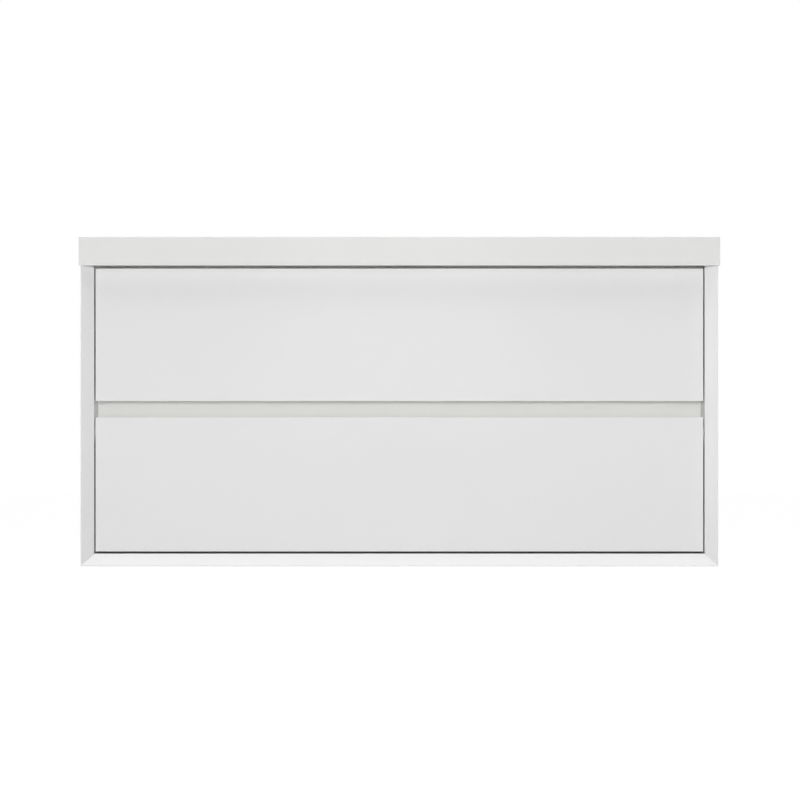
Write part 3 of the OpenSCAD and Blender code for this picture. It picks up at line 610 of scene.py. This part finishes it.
def shell_profile(sizes):
    """The shell's section, up to the middle of the deck."""
    wall = sizes.basin_wall
    top = sizes.basin_depth - sizes.deck / 2
    return [*foot_profile(sizes, wall), (wall_offset(sizes, top, wall), top), (0, top)]


def cavity_profile(sizes):
    """The cavity's section, with its rim eased into the deck and a lid that clears it."""
    centre_z = sizes.basin_depth - sizes.rim_radius
    centre_x = wall_offset(sizes, centre_z, 0) + sizes.rim_radius / math.cos(sizes.lean)
    rim = arc((centre_x, centre_z), sizes.rim_radius, 180 - math.degrees(sizes.lean), 90, 8)
    lid = sizes.basin_depth + OVER
    return [*foot_profile(sizes, 0), *rim, (centre_x, lid), (0, lid)]


def basin_solid(sizes, name, profile):
    """A turned solid with that section, opened into the basin's plan: its four quarters move apart."""
    steps = 96
    centre, reach = basin_centre(sizes)
    piece = turned(name, profile, steps)
    piece.rotation_euler.z = math.pi / steps
    settle_mesh(piece)
    for axis, size in ((0, sizes.basin_width), (1, reach)):
        for sign in (-1, 1):
            pick(piece, "VERT", lambda corners: sign * corners[0][axis] > TOUCH)
            move = Vector()
            move[axis] = sign * (size - 2 * sizes.corner) / 2
            bpy.ops.transform.translate(value=move)
            close_edit()
    piece.location = centre
    return settle_mesh(piece)


def channel_blocks(sizes, wall):
    """The two boxes of the overflow channel: down behind the basin, and forward under it."""
    centre, _ = basin_centre(sizes)
    back = -sizes.basin_back + sizes.basin_wall + sizes.channel_depth + wall
    front = back - sizes.channel_depth - 2 * wall
    low = centre.z - sizes.basin_wall - sizes.channel_drop - sizes.channel_depth - wall
    high = centre.z + sizes.basin_depth - sizes.overflow_down + sizes.overflow / 2 + wall
    half = sizes.channel_width / 2 + wall
    mouth_y = -sizes.drain_back + sizes.drain / 4
    return [
        block("channel_upright", (-half, front, low), (half, back, high)),
        block("channel_level", (-half, mouth_y, low), (half, back, low + sizes.channel_depth + 2 * wall)),
    ]


def eased_bore(sizes, name, radius, low, high, place):
    """A cutter for a bore with an eased upper mouth, put in place by a matrix."""
    mouth = radius + sizes.mouth
    flare = arc((mouth, high - sizes.mouth), sizes.mouth, 180, 90, 5)
    piece = turned(name, [(0, low), (radius, low), *flare, (mouth, high + OVER), (0, high + OVER)])
    piece.matrix_world = place
    return settle_mesh(piece)


def overflow_place(sizes):
    """The overflow hole's place on the basin's back wall, with Z pointing into the basin."""
    centre, reach = basin_centre(sizes)
    height = sizes.basin_depth - sizes.overflow_down
    y = centre.y + reach / 2 - sizes.corner + wall_offset(sizes, height, 0)
    return Matrix.Translation((0, y, centre.z + height)) @ Matrix.Rotation(math.pi / 2 - sizes.lean, 4, "X")


class VANITY_OT_sink_top(bpy.types.Operator):
    """Model the cast sink top with its basin, ribs and overflow channel"""

    bl_idname = "vanity.sink_top"
    bl_label = "Sink Top"

    def execute(self, context):
        sizes = context.scene.vanity_sink
        low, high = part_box("sink_top")
        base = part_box("side_panel_left")[1].z  # the slab's underside; the boss reaches lower
        floor_z = basin_centre(sizes)[0].z
        deck_low = high.z - sizes.deck
        slab = block("sink_top_cast", (low.x, low.y, base), high)
        bevel(slab, lambda corners: not lie_at(corners, 1, high.y), sizes.edge, 5)
        # the hollow's low x, low y, high x and high y
        inner = low.x + sizes.apron, low.y + sizes.apron, high.x - sizes.apron, -sizes.apron
        combine(slab, block("hollow", (inner[0], inner[1], base - OVER), (inner[2], inner[3], deck_low)))
        drain_y, tap_y = -sizes.drain_back, -sizes.tap_back
        pad_low = deck_low - sizes.tap_pad_depth
        for part in (
            *self.ribs(sizes, base, inner, deck_low),
            basin_solid(sizes, "shell", shell_profile(sizes)),
            rod("boss", (0, drain_y, low.z), (0, drain_y, floor_z - BOSS_SINK), sizes.boss / 2),
            rod("pad", (0, tap_y, pad_low), (0, tap_y, deck_low + OVER), sizes.tap_hole / 2 + sizes.tap_pad),
            *channel_blocks(sizes, sizes.channel_wall),
        ):
            combine(slab, part, "UNION")
        tap_place = Matrix.Translation((0, tap_y, 0))
        hole_low = -sizes.basin_wall - sizes.channel_depth / 2
        for part in (
            basin_solid(sizes, "cavity", cavity_profile(sizes)),
            self.drain_cutter(sizes, low.z, floor_z),
            eased_bore(sizes, "tap_bore", sizes.tap_hole / 2, pad_low - OVER, high.z, tap_place),
            eased_bore(sizes, "overflow_bore", sizes.overflow / 2, hole_low, 0, overflow_place(sizes)),
            *channel_blocks(sizes, 0),
        ):
            combine(slab, part)
        finish_piece(slab, "cast_acrylic_composite", "sink_top")
        return {"FINISHED"}

    def ribs(self, sizes, base, inner, deck_low):
        """One rib bears on the front rail, and two stiffen each wing beside the basin."""
        rail_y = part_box("front_rail")[0].y
        top, half = deck_low + OVER, sizes.rib / 2
        end = (inner[2] + OVER, rail_y + sizes.rib, top)
        found = [block("front_rib", (inner[0] - OVER, rail_y, base), end)]
        wing = (inner[2] - sizes.basin_width / 2) / 3
        for sign in (-1, 1):
            for step in (1, 2):
                x = sign * (sizes.basin_width / 2 + step * wing)
                start = (x - half, rail_y + OVER, base + sizes.rib_rise)
                found.append(block("wing_rib", start, (x + half, inner[3] + OVER, top)))
        return found

    def drain_cutter(self, sizes, boss_low, floor_z):
        """The drain bore, with its eased mouth and the dish that falls to it."""
        bore, dish = sizes.drain / 2, sizes.dish / 2
        slope = sizes.fall / (dish - bore)
        bottom = floor_z - sizes.fall
        lip = sizes.mouth
        bow = 0.3 * lip  # how far the eased lip's middle lies from its corner
        past = 2 * OVER
        profile = [
            (0, boss_low - OVER),
            (bore, boss_low - OVER),
            (bore, bottom - lip),
            (bore + bow, bottom - bow),
            (bore + lip, bottom + slope * lip),
            (dish + past, floor_z + slope * past),
            (0, floor_z + slope * past),
        ]
        cutter = turned("drain_cutter", profile, 96)
        cutter.location = (0, -sizes.drain_back, 0)
        return settle_mesh(cutter)


class VANITY_OT_overflow_ring(bpy.types.Operator):
    """Model the ring that trims the overflow hole"""

    bl_idname = "vanity.overflow_ring"
    bl_label = "Overflow Ring"

    def execute(self, context):
        sizes = context.scene.vanity_sink
        radius = sizes.overflow / 2
        flange, sleeve, hole = radius + RING_REACH, radius - RING_PLAY, radius - RING_WALL
        depth = -sizes.basin_wall + RING_SHORT
        outside = [
            (0, depth),
            (sleeve, depth),
            (sleeve, 0),
            (flange, 0),
            *arc((flange - RING_OUTER, RING_RISE - RING_OUTER), RING_OUTER, 0, 90, 5),
            *arc((hole + RING_INNER, RING_RISE - RING_INNER), RING_INNER, 90, 180, 6),
            (hole, depth + OVER),
            (0, depth + OVER),
        ]
        ring = turned("overflow_ring_chromed", outside, 72)
        combine(ring, rod("ring_bore", (0, 0, depth - OVER), (0, 0, depth + 2 * OVER), hole, 72))
        ring.matrix_world = overflow_place(sizes)
        finish_piece(settle_mesh(ring), "polished_chrome_plate", "overflow_ring")
        return {"FINISHED"}


# ---- Cabinet ----


class VANITY_OT_cabinet_panels(bpy.types.Operator):
    """Model the side panels and the bottom panel, with bevelled fronts and mitred corners"""

    bl_idname = "vanity.cabinet_panels"
    bl_label = "Cabinet Panels"

    def execute(self, context):
        sizes = context.scene.vanity_cabinet
        # node, axis and side of the inner face, side that the mitres clear, and their places along X
        self.panel(sizes, "side_panel_left", 0, 1, -1, [-1])
        self.panel(sizes, "side_panel_right", 0, 0, -1, [1])
        self.panel(sizes, "bottom_panel", 2, 1, 1, [-1, 1])
        return {"FINISHED"}

    def panel(self, sizes, node, axis, inner, clear, signs):
        """A panel with a bevel along its inner front edge and mitres at the cabinet's lower corners."""
        low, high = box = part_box(node)
        panel = block(node + "_lacquered", low, high)
        bevel(panel, along((axis, box[inner][axis]), (1, low.y)), high[axis] - low[axis] - sizes.panel_rim)
        ends = [(Vector((sign * max(high.x, -low.x), 0, low.z)), sign) for sign in signs]
        for corner, sign in ends:
            pick(panel, "FACE")
            normal = clear * Vector((sign, 0, 1))
            bpy.ops.mesh.bisect(plane_co=corner, plane_no=normal, use_fill=True, clear_outer=True)
            close_edit()
        ease(panel, sizes.board_ease, 3, lambda corners: any(self.on_mitre(corners, *end) for end in ends))
        finish_piece(panel, "gloss_white_lacquer", node)

    def on_mitre(self, corners, corner, sign):
        """Whether all the corners lie in the mitre plane."""
        return all(abs(sign * (c.x - corner.x) + c.z - corner.z) < NEAR for c in corners)


class VANITY_OT_rails(bpy.types.Operator):
    """Model the back rails with their bolt holes, the front rail and the grip rail"""

    bl_idname = "vanity.rails"
    bl_label = "Rails"

    def execute(self, context):
        sizes = context.scene.vanity_cabinet
        bolts = [(low + high) / 2 for low, high in map(box_of, loose_parts("wall_plates"))]
        for node in ("upper_back_rail", "lower_back_rail", "front_rail", "grip_rail"):
            low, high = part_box(node)
            rail = ease(block(node + "_lacquered", low, high), sizes.board_ease)
            for bolt in bolts:
                if low.y < bolt.y + INTO_RAIL < high.y and low.z < bolt.z < high.z:
                    drill(rail, 1, bolt, low, high, sizes.bolt_hole)
            finish_piece(rail, "satin_white_lacquer", node)
        return {"FINISHED"}


class VANITY_OT_drawer_fronts(bpy.types.Operator):
    """Model the two drawer fronts, with eased faces and a finger bevel behind the grip edge"""

    bl_idname = "vanity.drawer_fronts"
    bl_label = "Drawer Fronts"

    def execute(self, context):
        sizes = context.scene.vanity_cabinet
        for level in LEVELS:
            node = f"{level}_drawer_front"
            low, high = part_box(node)
            front = block(node + "_lacquered", low, high)
            grip_z = low.z if level == "upper" else high.z
            bevel(front, along((1, high.y), (2, grip_z)), high.y - low.y - sizes.finger_edge)
            ease(front, sizes.front_edge, 5, lambda corners: not any(lie_at([c], 1, low.y) for c in corners))
            ease(front, sizes.board_ease)
            finish_piece(front, "gloss_white_lacquer", node)
        return {"FINISHED"}


# ---- Drawer boxes ----


def bottom_shape(name, node, sizes, grow):
    """A drawer bottom grown by the slot's play; the upper one leaves the plumbing bay open at the back."""
    low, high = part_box(node)
    room = Vector((grow, grow, grow))
    shape = block(name, low - room, high + room)
    if node == "upper_box_bottom":
        bay_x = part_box("bay_side_right")[1].x - sizes.housing - grow
        bay_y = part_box("bay_front_wall")[0].y + sizes.housing + grow
        reach = (bay_x, high.y + BEYOND, high.z + BEYOND)
        combine(shape, block("bay", (-bay_x, bay_y, low.z - BEYOND), reach))
    return shape


class VANITY_OT_drawer_boxes(bpy.types.Operator):
    """Model the boards of both drawer boxes, with the slots that house their bottoms"""

    bl_idname = "vanity.drawer_boxes"
    bl_label = "Drawer Boxes"

    def execute(self, context):
        sizes = context.scene.vanity_cabinet
        board = "linen_melamine_board"
        backs = {"upper": ["back_left", "back_right"], "lower": ["back"]}
        for level in LEVELS:
            bottom = f"{level}_box_bottom"
            nodes = [f"{level}_box_{wall}" for wall in ("front", "side_left", "side_right", *backs[level])]
            if level == "upper":
                nodes += ["bay_side_left", "bay_side_right", "bay_front_wall"]
            for node in nodes:
                wall = block(node + "_board", *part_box(node))
                combine(wall, bottom_shape("slot", bottom, sizes, sizes.slot_play))
                finish_piece(ease(wall, sizes.board_ease), board, node)
            shape = bottom_shape(bottom + "_board", bottom, sizes, 0)
            finish_piece(ease(shape, sizes.board_ease), board, bottom)
        return {"FINISHED"}


# ---- Runners ----

GROOVE_MARGIN = 2 * MM  # a lever pad's edge to its grooves' ends


def smooth_copy(node, name):
    """A copy of a carried-over node, with its triangles merged into one closed mesh."""
    piece = node_copy(node, name)
    pick(piece, "VERT")
    bpy.ops.mesh.remove_doubles(threshold=MERGE)
    bpy.ops.mesh.customdata_custom_splitnormals_clear()
    bpy.ops.mesh.dissolve_limited(angle_limit=FLAT)
    close_edit()
    return piece


class VANITY_OT_runners(bpy.types.Operator):
    """Finish the rolled runner members and the ball cages"""

    bl_idname = "vanity.runners"
    bl_label = "Runners"

    def execute(self, context):
        for runner in RUNNERS:
            for kind in ("outer_slide", "middle_slide", "inner_slide", "outer_cage", "inner_cage"):
                node = f"{runner}_{kind}"
                finish = "greased_bearing_steel" if kind.endswith("cage") else "bright_zinc_plate"
                finish_piece(smooth_copy(node, node + "_rolled"), finish, node)
        return {"FINISHED"}


class VANITY_OT_release_levers(bpy.types.Operator):
    """Model the four moulded release levers"""

    bl_idname = "vanity.release_levers"
    bl_label = "Release Levers"

    def execute(self, context):
        for runner in RUNNERS:
            self.lever(context.scene.vanity_cabinet, runner + "_release_lever")
        return {"FINISHED"}

    def lever(self, sizes, node):
        """A lever with its hub on the pin, its bar, and its grooved pad."""
        low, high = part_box(node)
        radius = (high.z - low.z) / 2
        mid_z = (high.z + low.z) / 2
        hub_y, pad_y = high.y - radius, low.y + radius
        half = sizes.lever_bar / 2
        lever = rod(node + "_moulded", (low.x, hub_y, mid_z), (high.x, hub_y, mid_z), radius)
        combine(lever, block("bar", (low.x, pad_y, mid_z - half), (high.x, hub_y, mid_z + half)), "UNION")
        combine(lever, rod("pad", (low.x, pad_y, mid_z), (high.x, pad_y, mid_z), radius), "UNION")
        drill(lever, 0, (0, hub_y, mid_z), low, high, sizes.lever_hole)
        ease(lever, sizes.small_ease)
        drawer_side = low.x if low.x > 0 else high.x
        groove = sizes.lever_groove / 2
        for step in (-1, 0, 1):
            y = pad_y + sizes.groove_pitch * step
            cut_low = (drawer_side - groove, y - groove, low.z + GROOVE_MARGIN)
            cut_high = (drawer_side + groove, y + groove, high.z - GROOVE_MARGIN)
            combine(lever, block("groove", cut_low, cut_high))
        finish_piece(lever, "moulded_black_acetal", node)


# ---- Fixings ----

SHANK = 3.5 * MM  # a screw's diameter
NECK, POINT = 1 * MM, 4 * MM  # lengths of its neck and its point
PITCH = 1.6 * MM  # from one thread to the next
PAN_HEIGHT, PAN_DOME, PAN_RIM = 2.2 * MM, 1.4 * MM, 0.2 * MM  # a pan head's height and its edges' radii
FLAT_RIM = 0.15 * MM  # easing of a countersunk head's rim
PAN_RECESS, FLAT_RECESS = (1.5 * MM, 3.4 * MM), (1.8 * MM, 3.6 * MM)  # a cross recess's depth and length
RECESS_WIDTH = 1 * MM
HEAD_SHARE = 0.4  # points further out than this share of a screw's width belong to its head
RECESS_TAPER = (0.5, 0.35, 1)  # the cross recess's foot against its mouth
THREAD_ROOT = 0.72  # the thread's root against its crest
THREAD_SHARES = (0.35, 0.6, 0.85)  # a thread's start, peak and end as shares of the pitch


class VANITY_OT_brackets(bpy.types.Operator):
    """Model the stamped corner brackets and the washer plates"""

    bl_idname = "vanity.brackets"
    bl_label = "Brackets and Plates"

    def execute(self, context):
        sizes = context.scene.vanity_cabinet
        for node, make in (("corner_brackets", self.bracket), ("wall_plates", self.plate)):
            pieces = [make(sizes, points) for points in loose_parts(node)]
            finish_piece(join(pieces, node + "_stamped"), "bright_zinc_plate", node)
        return {"FINISHED"}

    def bracket(self, sizes, points):
        """A bent strip with rounded leg ends, in one inside corner."""
        low, high = box_of(points)
        mean = sum(points, Vector()) / len(points)
        # on both axes, most of the points are near the bend
        (far_x, bend_x), (far_y, bend_y) = (
            (low[i], high[i]) if mean[i] > (low[i] + high[i]) / 2 else (high[i], low[i]) for i in (0, 1)
        )
        inner_x = bend_x + math.copysign(sizes.bracket_thickness, far_x - bend_x)
        inner_y = bend_y + math.copysign(sizes.bracket_thickness, far_y - bend_y)
        bracket = block("leg", (far_x, inner_y, low.z), (bend_x, bend_y, high.z))
        combine(bracket, block("leg", (inner_x, far_y, low.z), (bend_x, bend_y, high.z)), "UNION")

        def leg_end(corners):
            across_x = lie_at(corners, 0, far_x) and abs(corners[0].y - corners[1].y) > TOUCH
            across_y = lie_at(corners, 1, far_y) and abs(corners[0].x - corners[1].x) > TOUCH
            return across_x or across_y

        bevel(bracket, leg_end, sizes.bracket_corner, 6)
        bevel(bracket, along((0, bend_x), (1, bend_y)), sizes.bracket_bend, 4)
        return ease(bracket, sizes.small_ease)

    def plate(self, sizes, points):
        """A square washer plate with rounded corners and its bolt hole."""
        low, high = box_of(points)
        plate = block("plate", low, high)
        bevel(plate, lambda corners: abs(corners[0].y - corners[1].y) > TOUCH, sizes.plate_corner, 6)
        drill(plate, 1, (low + high) / 2, low, high, sizes.bolt_hole)
        return ease(plate, sizes.small_ease)


def screw_place(points):
    """A screw's frame, length and head width: Z points out of the head, from the middle of its outer face."""
    low, high = box_of(points)
    size = high - low
    axis = max(range(3), key=lambda i: size[i])
    across = [i for i in range(3) if i != axis]
    middle = (low + high) / 2
    width = max(size[i] for i in across)
    wide = [p for p in points if max(abs(p[i] - middle[i]) for i in across) > HEAD_SHARE * width]
    out = 1 if sum(p[axis] for p in wide) / len(wide) > middle[axis] else -1
    head = middle.copy()
    head[axis] = high[axis] if out > 0 else low[axis]
    direction = Vector([out if i == axis else 0 for i in range(3)])
    turn = direction.to_track_quat("Z", "Y").to_matrix().to_4x4()
    return Matrix.Translation(head) @ turn, size[axis], width


def wood_screw(head_profile, total, recess):
    """A screw below Z = 0 with that head, ring threads, a point and a tapered cross recess."""
    start, end = head_profile[-1][1] - NECK, POINT - total
    crest, root = SHANK / 2, SHANK / 2 * THREAD_ROOT
    profile = [*head_profile, (root, start)]
    for turn in range(int((start - end) / PITCH)):
        for radius, share in zip((root, crest, root), THREAD_SHARES):
            profile.append((radius, start - (turn + share) * PITCH))
    screw = turned("screw", [*profile, (0, -total)][::-1], 20)
    depth, arm = recess
    for turn in (0, math.pi / 2):
        cutter = block("recess", (-RECESS_WIDTH / 2, -arm / 2, -depth), (RECESS_WIDTH / 2, arm / 2, OVER))
        pick(cutter, "FACE", along((2, -depth)))
        bpy.ops.transform.resize(value=RECESS_TAPER)
        close_edit()
        cutter.rotation_euler.z = turn
        combine(screw, settle_mesh(cutter))
    return screw


def pan_screw(head, total):
    """A pan-head wood screw."""
    dome = arc((head / 2 - PAN_DOME, -PAN_DOME), PAN_DOME, 90, 0, 5)
    rim = [(head / 2, PAN_RIM - PAN_HEIGHT), (head / 2 - PAN_RIM, -PAN_HEIGHT), (SHANK / 2, -PAN_HEIGHT)]
    return wood_screw([(0, 0), *dome, *rim], total, PAN_RECESS)


def flat_screw(head, total):
    """A countersunk wood screw."""
    cone = (SHANK / 2, (SHANK - head) / 2)
    return wood_screw([(0, 0), (head / 2 - FLAT_RIM, 0), (head / 2, -FLAT_RIM), cone], total, FLAT_RECESS)


class VANITY_OT_screws(bpy.types.Operator):
    """Model one screw of each kind and put copies in their places"""

    bl_idname = "vanity.screws"
    bl_label = "Screws"

    def execute(self, context):
        for node in ("bracket_screws", "runner_screws", "upper_drawer_screws", "lower_drawer_screws"):
            make = flat_screw if node == "runner_screws" else pan_screw
            models, copies = {}, []
            for points in loose_parts(node):
                place, total, head = screw_place(points)
                key = round(total / MM)
                if key not in models:
                    models[key] = make(head, total)
                copies.append(copy_at(models[key], f"{node}_{len(copies)}", place))
            for model in models.values():
                bpy.data.objects.remove(model)
            finish_piece(join(copies, node + "_plated"), "bright_zinc_plate", node)
        return {"FINISHED"}


class VANITY_OT_pads(bpy.types.Operator):
    """Model the rubber closing pad and the runners' buffers"""

    bl_idname = "vanity.pads"
    bl_label = "Pads and Buffers"

    def execute(self, context):
        sizes = context.scene.vanity_cabinet
        for node in ("closing_pad", "runner_buffers"):
            pads = [ease(block("pad", *part), sizes.rubber_ease, 4) for part in loose_parts(node)]
            finish_piece(join(pads, node + "_moulded"), "moulded_grey_rubber", node)
        return {"FINISHED"}


# ---- Stage ----

CAMERA_PLACE = (0.0012, -3.47, 0.0192)  # square to the front and level with the finger gap
CAMERA_SENSOR, CAMERA_LENS = 36, 71.08
FLOOR_SIZE, FLOOR_Z = 24, -0.9
FLOOR_GLOW = 1.18  # lifts the floor that the eye sees to plain white
FLOOR_SHARE = 0.82  # share of that glow; the rest keeps the object's shadow
WORLD_GLOW = 0.07
LAMP_AIM = Vector((0, -0.4, 0.05))
LAMPS = (  # name, place, width, height, watts, and whether the gloss mirrors it
    ("lamp_front", (0, -6.2, 0.6), 1.4, 1.4, 155, False),
    ("lamp_front_high", (0, -4.4, 1.75), 1.4, 0.5, 15, False),
    ("lamp_fore", (0, -1.25, 3.4), 3.6, 1.5, 54, True),
    ("lamp_above", (0, 0.35, 3.4), 1.4, 1.4, 28, True),
    ("lamp_side_left", (-4.0, -1.1, 0.2), 1.6, 1.6, 12, True),
    ("lamp_back_left", (-4.0, 0.6, 0.8), 2.0, 2.0, 60, False),
    ("lamp_back_right", (4.0, 0.6, 0.8), 2.0, 2.0, 70, False),
    ("lamp_back", (0, 4.5, 1.2), 2.5, 2.5, 80, False),
)


class VANITY_OT_stage(bpy.types.Operator):
    """Make the floor, the world, the lamps and the camera"""

    bl_idname = "vanity.stage"
    bl_label = "Stage"

    def execute(self, context):
        scene = context.scene
        scene.view_settings.view_transform = "Standard"
        self.floor()
        self.world(scene)
        self.lamps()
        bpy.ops.object.camera_add(location=CAMERA_PLACE, rotation=(math.pi / 2, 0, 0))
        camera = context.object
        camera.data.sensor_width, camera.data.lens = CAMERA_SENSOR, CAMERA_LENS
        scene.camera = camera
        return {"FINISHED"}

    def mix(self, tree, share, first, second, output):
        """Shows a mix of two shaders at a tree's output."""
        inputs = {0: share, 1: first.outputs[0], 2: second.outputs[0]}
        mixed = add_node(tree, "ShaderNodeMixShader", inputs=inputs)
        tree.links.new(mixed.outputs[0], tree.nodes[output].inputs["Surface"])

    def floor(self):
        """A pale floor, white to the eye, that keeps a part of the object's shadow."""
        bpy.ops.mesh.primitive_plane_add(size=FLOOR_SIZE, location=(0, 0, FLOOR_Z))
        floor = settle_mesh(named(bpy.context.object, "floor"))
        name = "pale_studio_floor"
        tree = new_finish(name, Base_Color=rgba(linear("#E8E8E8")), Roughness=0.9)
        eye = add_node(tree, "ShaderNodeLightPath").outputs["Is Camera Ray"]
        white = add_node(tree, "ShaderNodeEmission", inputs={"Strength": FLOOR_GLOW})
        share = calculate(tree, "MULTIPLY", eye, FLOOR_SHARE)
        self.mix(tree, share, tree.nodes[SHADER], white, "Material Output")
        floor.data.materials.append(bpy.data.materials[name])

    def world(self, scene):
        """A soft even light, seen as plain white by the eye and in reflections."""
        world = bpy.data.worlds.new("studio")
        world.use_nodes = True
        tree = world.node_tree
        soft = tree.nodes["Background"]
        soft.inputs["Color"].default_value = (1, 1, 1, 1)
        soft.inputs["Strength"].default_value = WORLD_GLOW
        white = add_node(tree, "ShaderNodeBackground", inputs={"Color": (1, 1, 1, 1), "Strength": 1})
        path = add_node(tree, "ShaderNodeLightPath")
        seen = path.outputs["Is Camera Ray"]
        for kind in ("Is Glossy Ray", "Is Transmission Ray"):
            seen = calculate(tree, "MAXIMUM", seen, path.outputs[kind])
        self.mix(tree, seen, soft, white, "World Output")
        scene.world = world

    def lamps(self):
        """Soft lamps in front, above, on the left and behind."""
        for name, place, width, height, watts, mirrored in LAMPS:
            turn = (LAMP_AIM - Vector(place)).to_track_quat("-Z", "Y").to_euler()
            bpy.ops.object.light_add(type="AREA", location=place, rotation=turn)
            lamp = named(bpy.context.object, name)
            lamp.data.shape = "RECTANGLE"
            lamp.data.size, lamp.data.size_y, lamp.data.energy = width, height, watts
            lamp.visible_glossy = mirrored


# ---- Panel and registration ----

GROUPS = {
    "vanity_sink": VanitySinkSizes,
    "vanity_cabinet": VanityCabinetSizes,
    "vanity_colours": VanityColours,
}


class VANITY_PT_panel(bpy.types.Panel):
    """Lists the vanity's sizes, colours and steps"""

    bl_idname = "VANITY_PT_panel"
    bl_label = "Vanity"
    bl_space_type = "VIEW_3D"
    bl_region_type = "UI"
    bl_category = "Vanity"

    def draw(self, context):
        for name in GROUPS:
            group = getattr(context.scene, name)
            column = self.layout.column()
            for key in group.bl_rna.properties.keys():
                if key not in ("rna_type", "name"):
                    column.prop(group, key)
        for step in STEPS:
            self.layout.operator(step.bl_idname)


STEPS = (
    VANITY_OT_finishes,
    VANITY_OT_sink_top,
    VANITY_OT_overflow_ring,
    VANITY_OT_cabinet_panels,
    VANITY_OT_rails,
    VANITY_OT_drawer_fronts,
    VANITY_OT_drawer_boxes,
    VANITY_OT_runners,
    VANITY_OT_release_levers,
    VANITY_OT_brackets,
    VANITY_OT_screws,
    VANITY_OT_pads,
    VANITY_OT_stage,
)
CLASSES = (*GROUPS.values(), *STEPS, VANITY_PT_panel)


def register():
    """Registers the classes and the scene's groups of sizes and colours."""
    for cls in CLASSES:
        bpy.utils.register_class(cls)
    for name, group in GROUPS.items():
        setattr(bpy.types.Scene, name, PointerProperty(type=group))


def unregister():
    """Takes back what register did."""
    for name in GROUPS:
        delattr(bpy.types.Scene, name)
    for cls in reversed(CLASSES):
        bpy.utils.unregister_class(cls)


def main():
    """Runs every step in order."""
    register()
    for step in STEPS:
        getattr(bpy.ops.vanity, step.bl_idname.split(".")[1])()


if __name__ == "__main__":
    main()
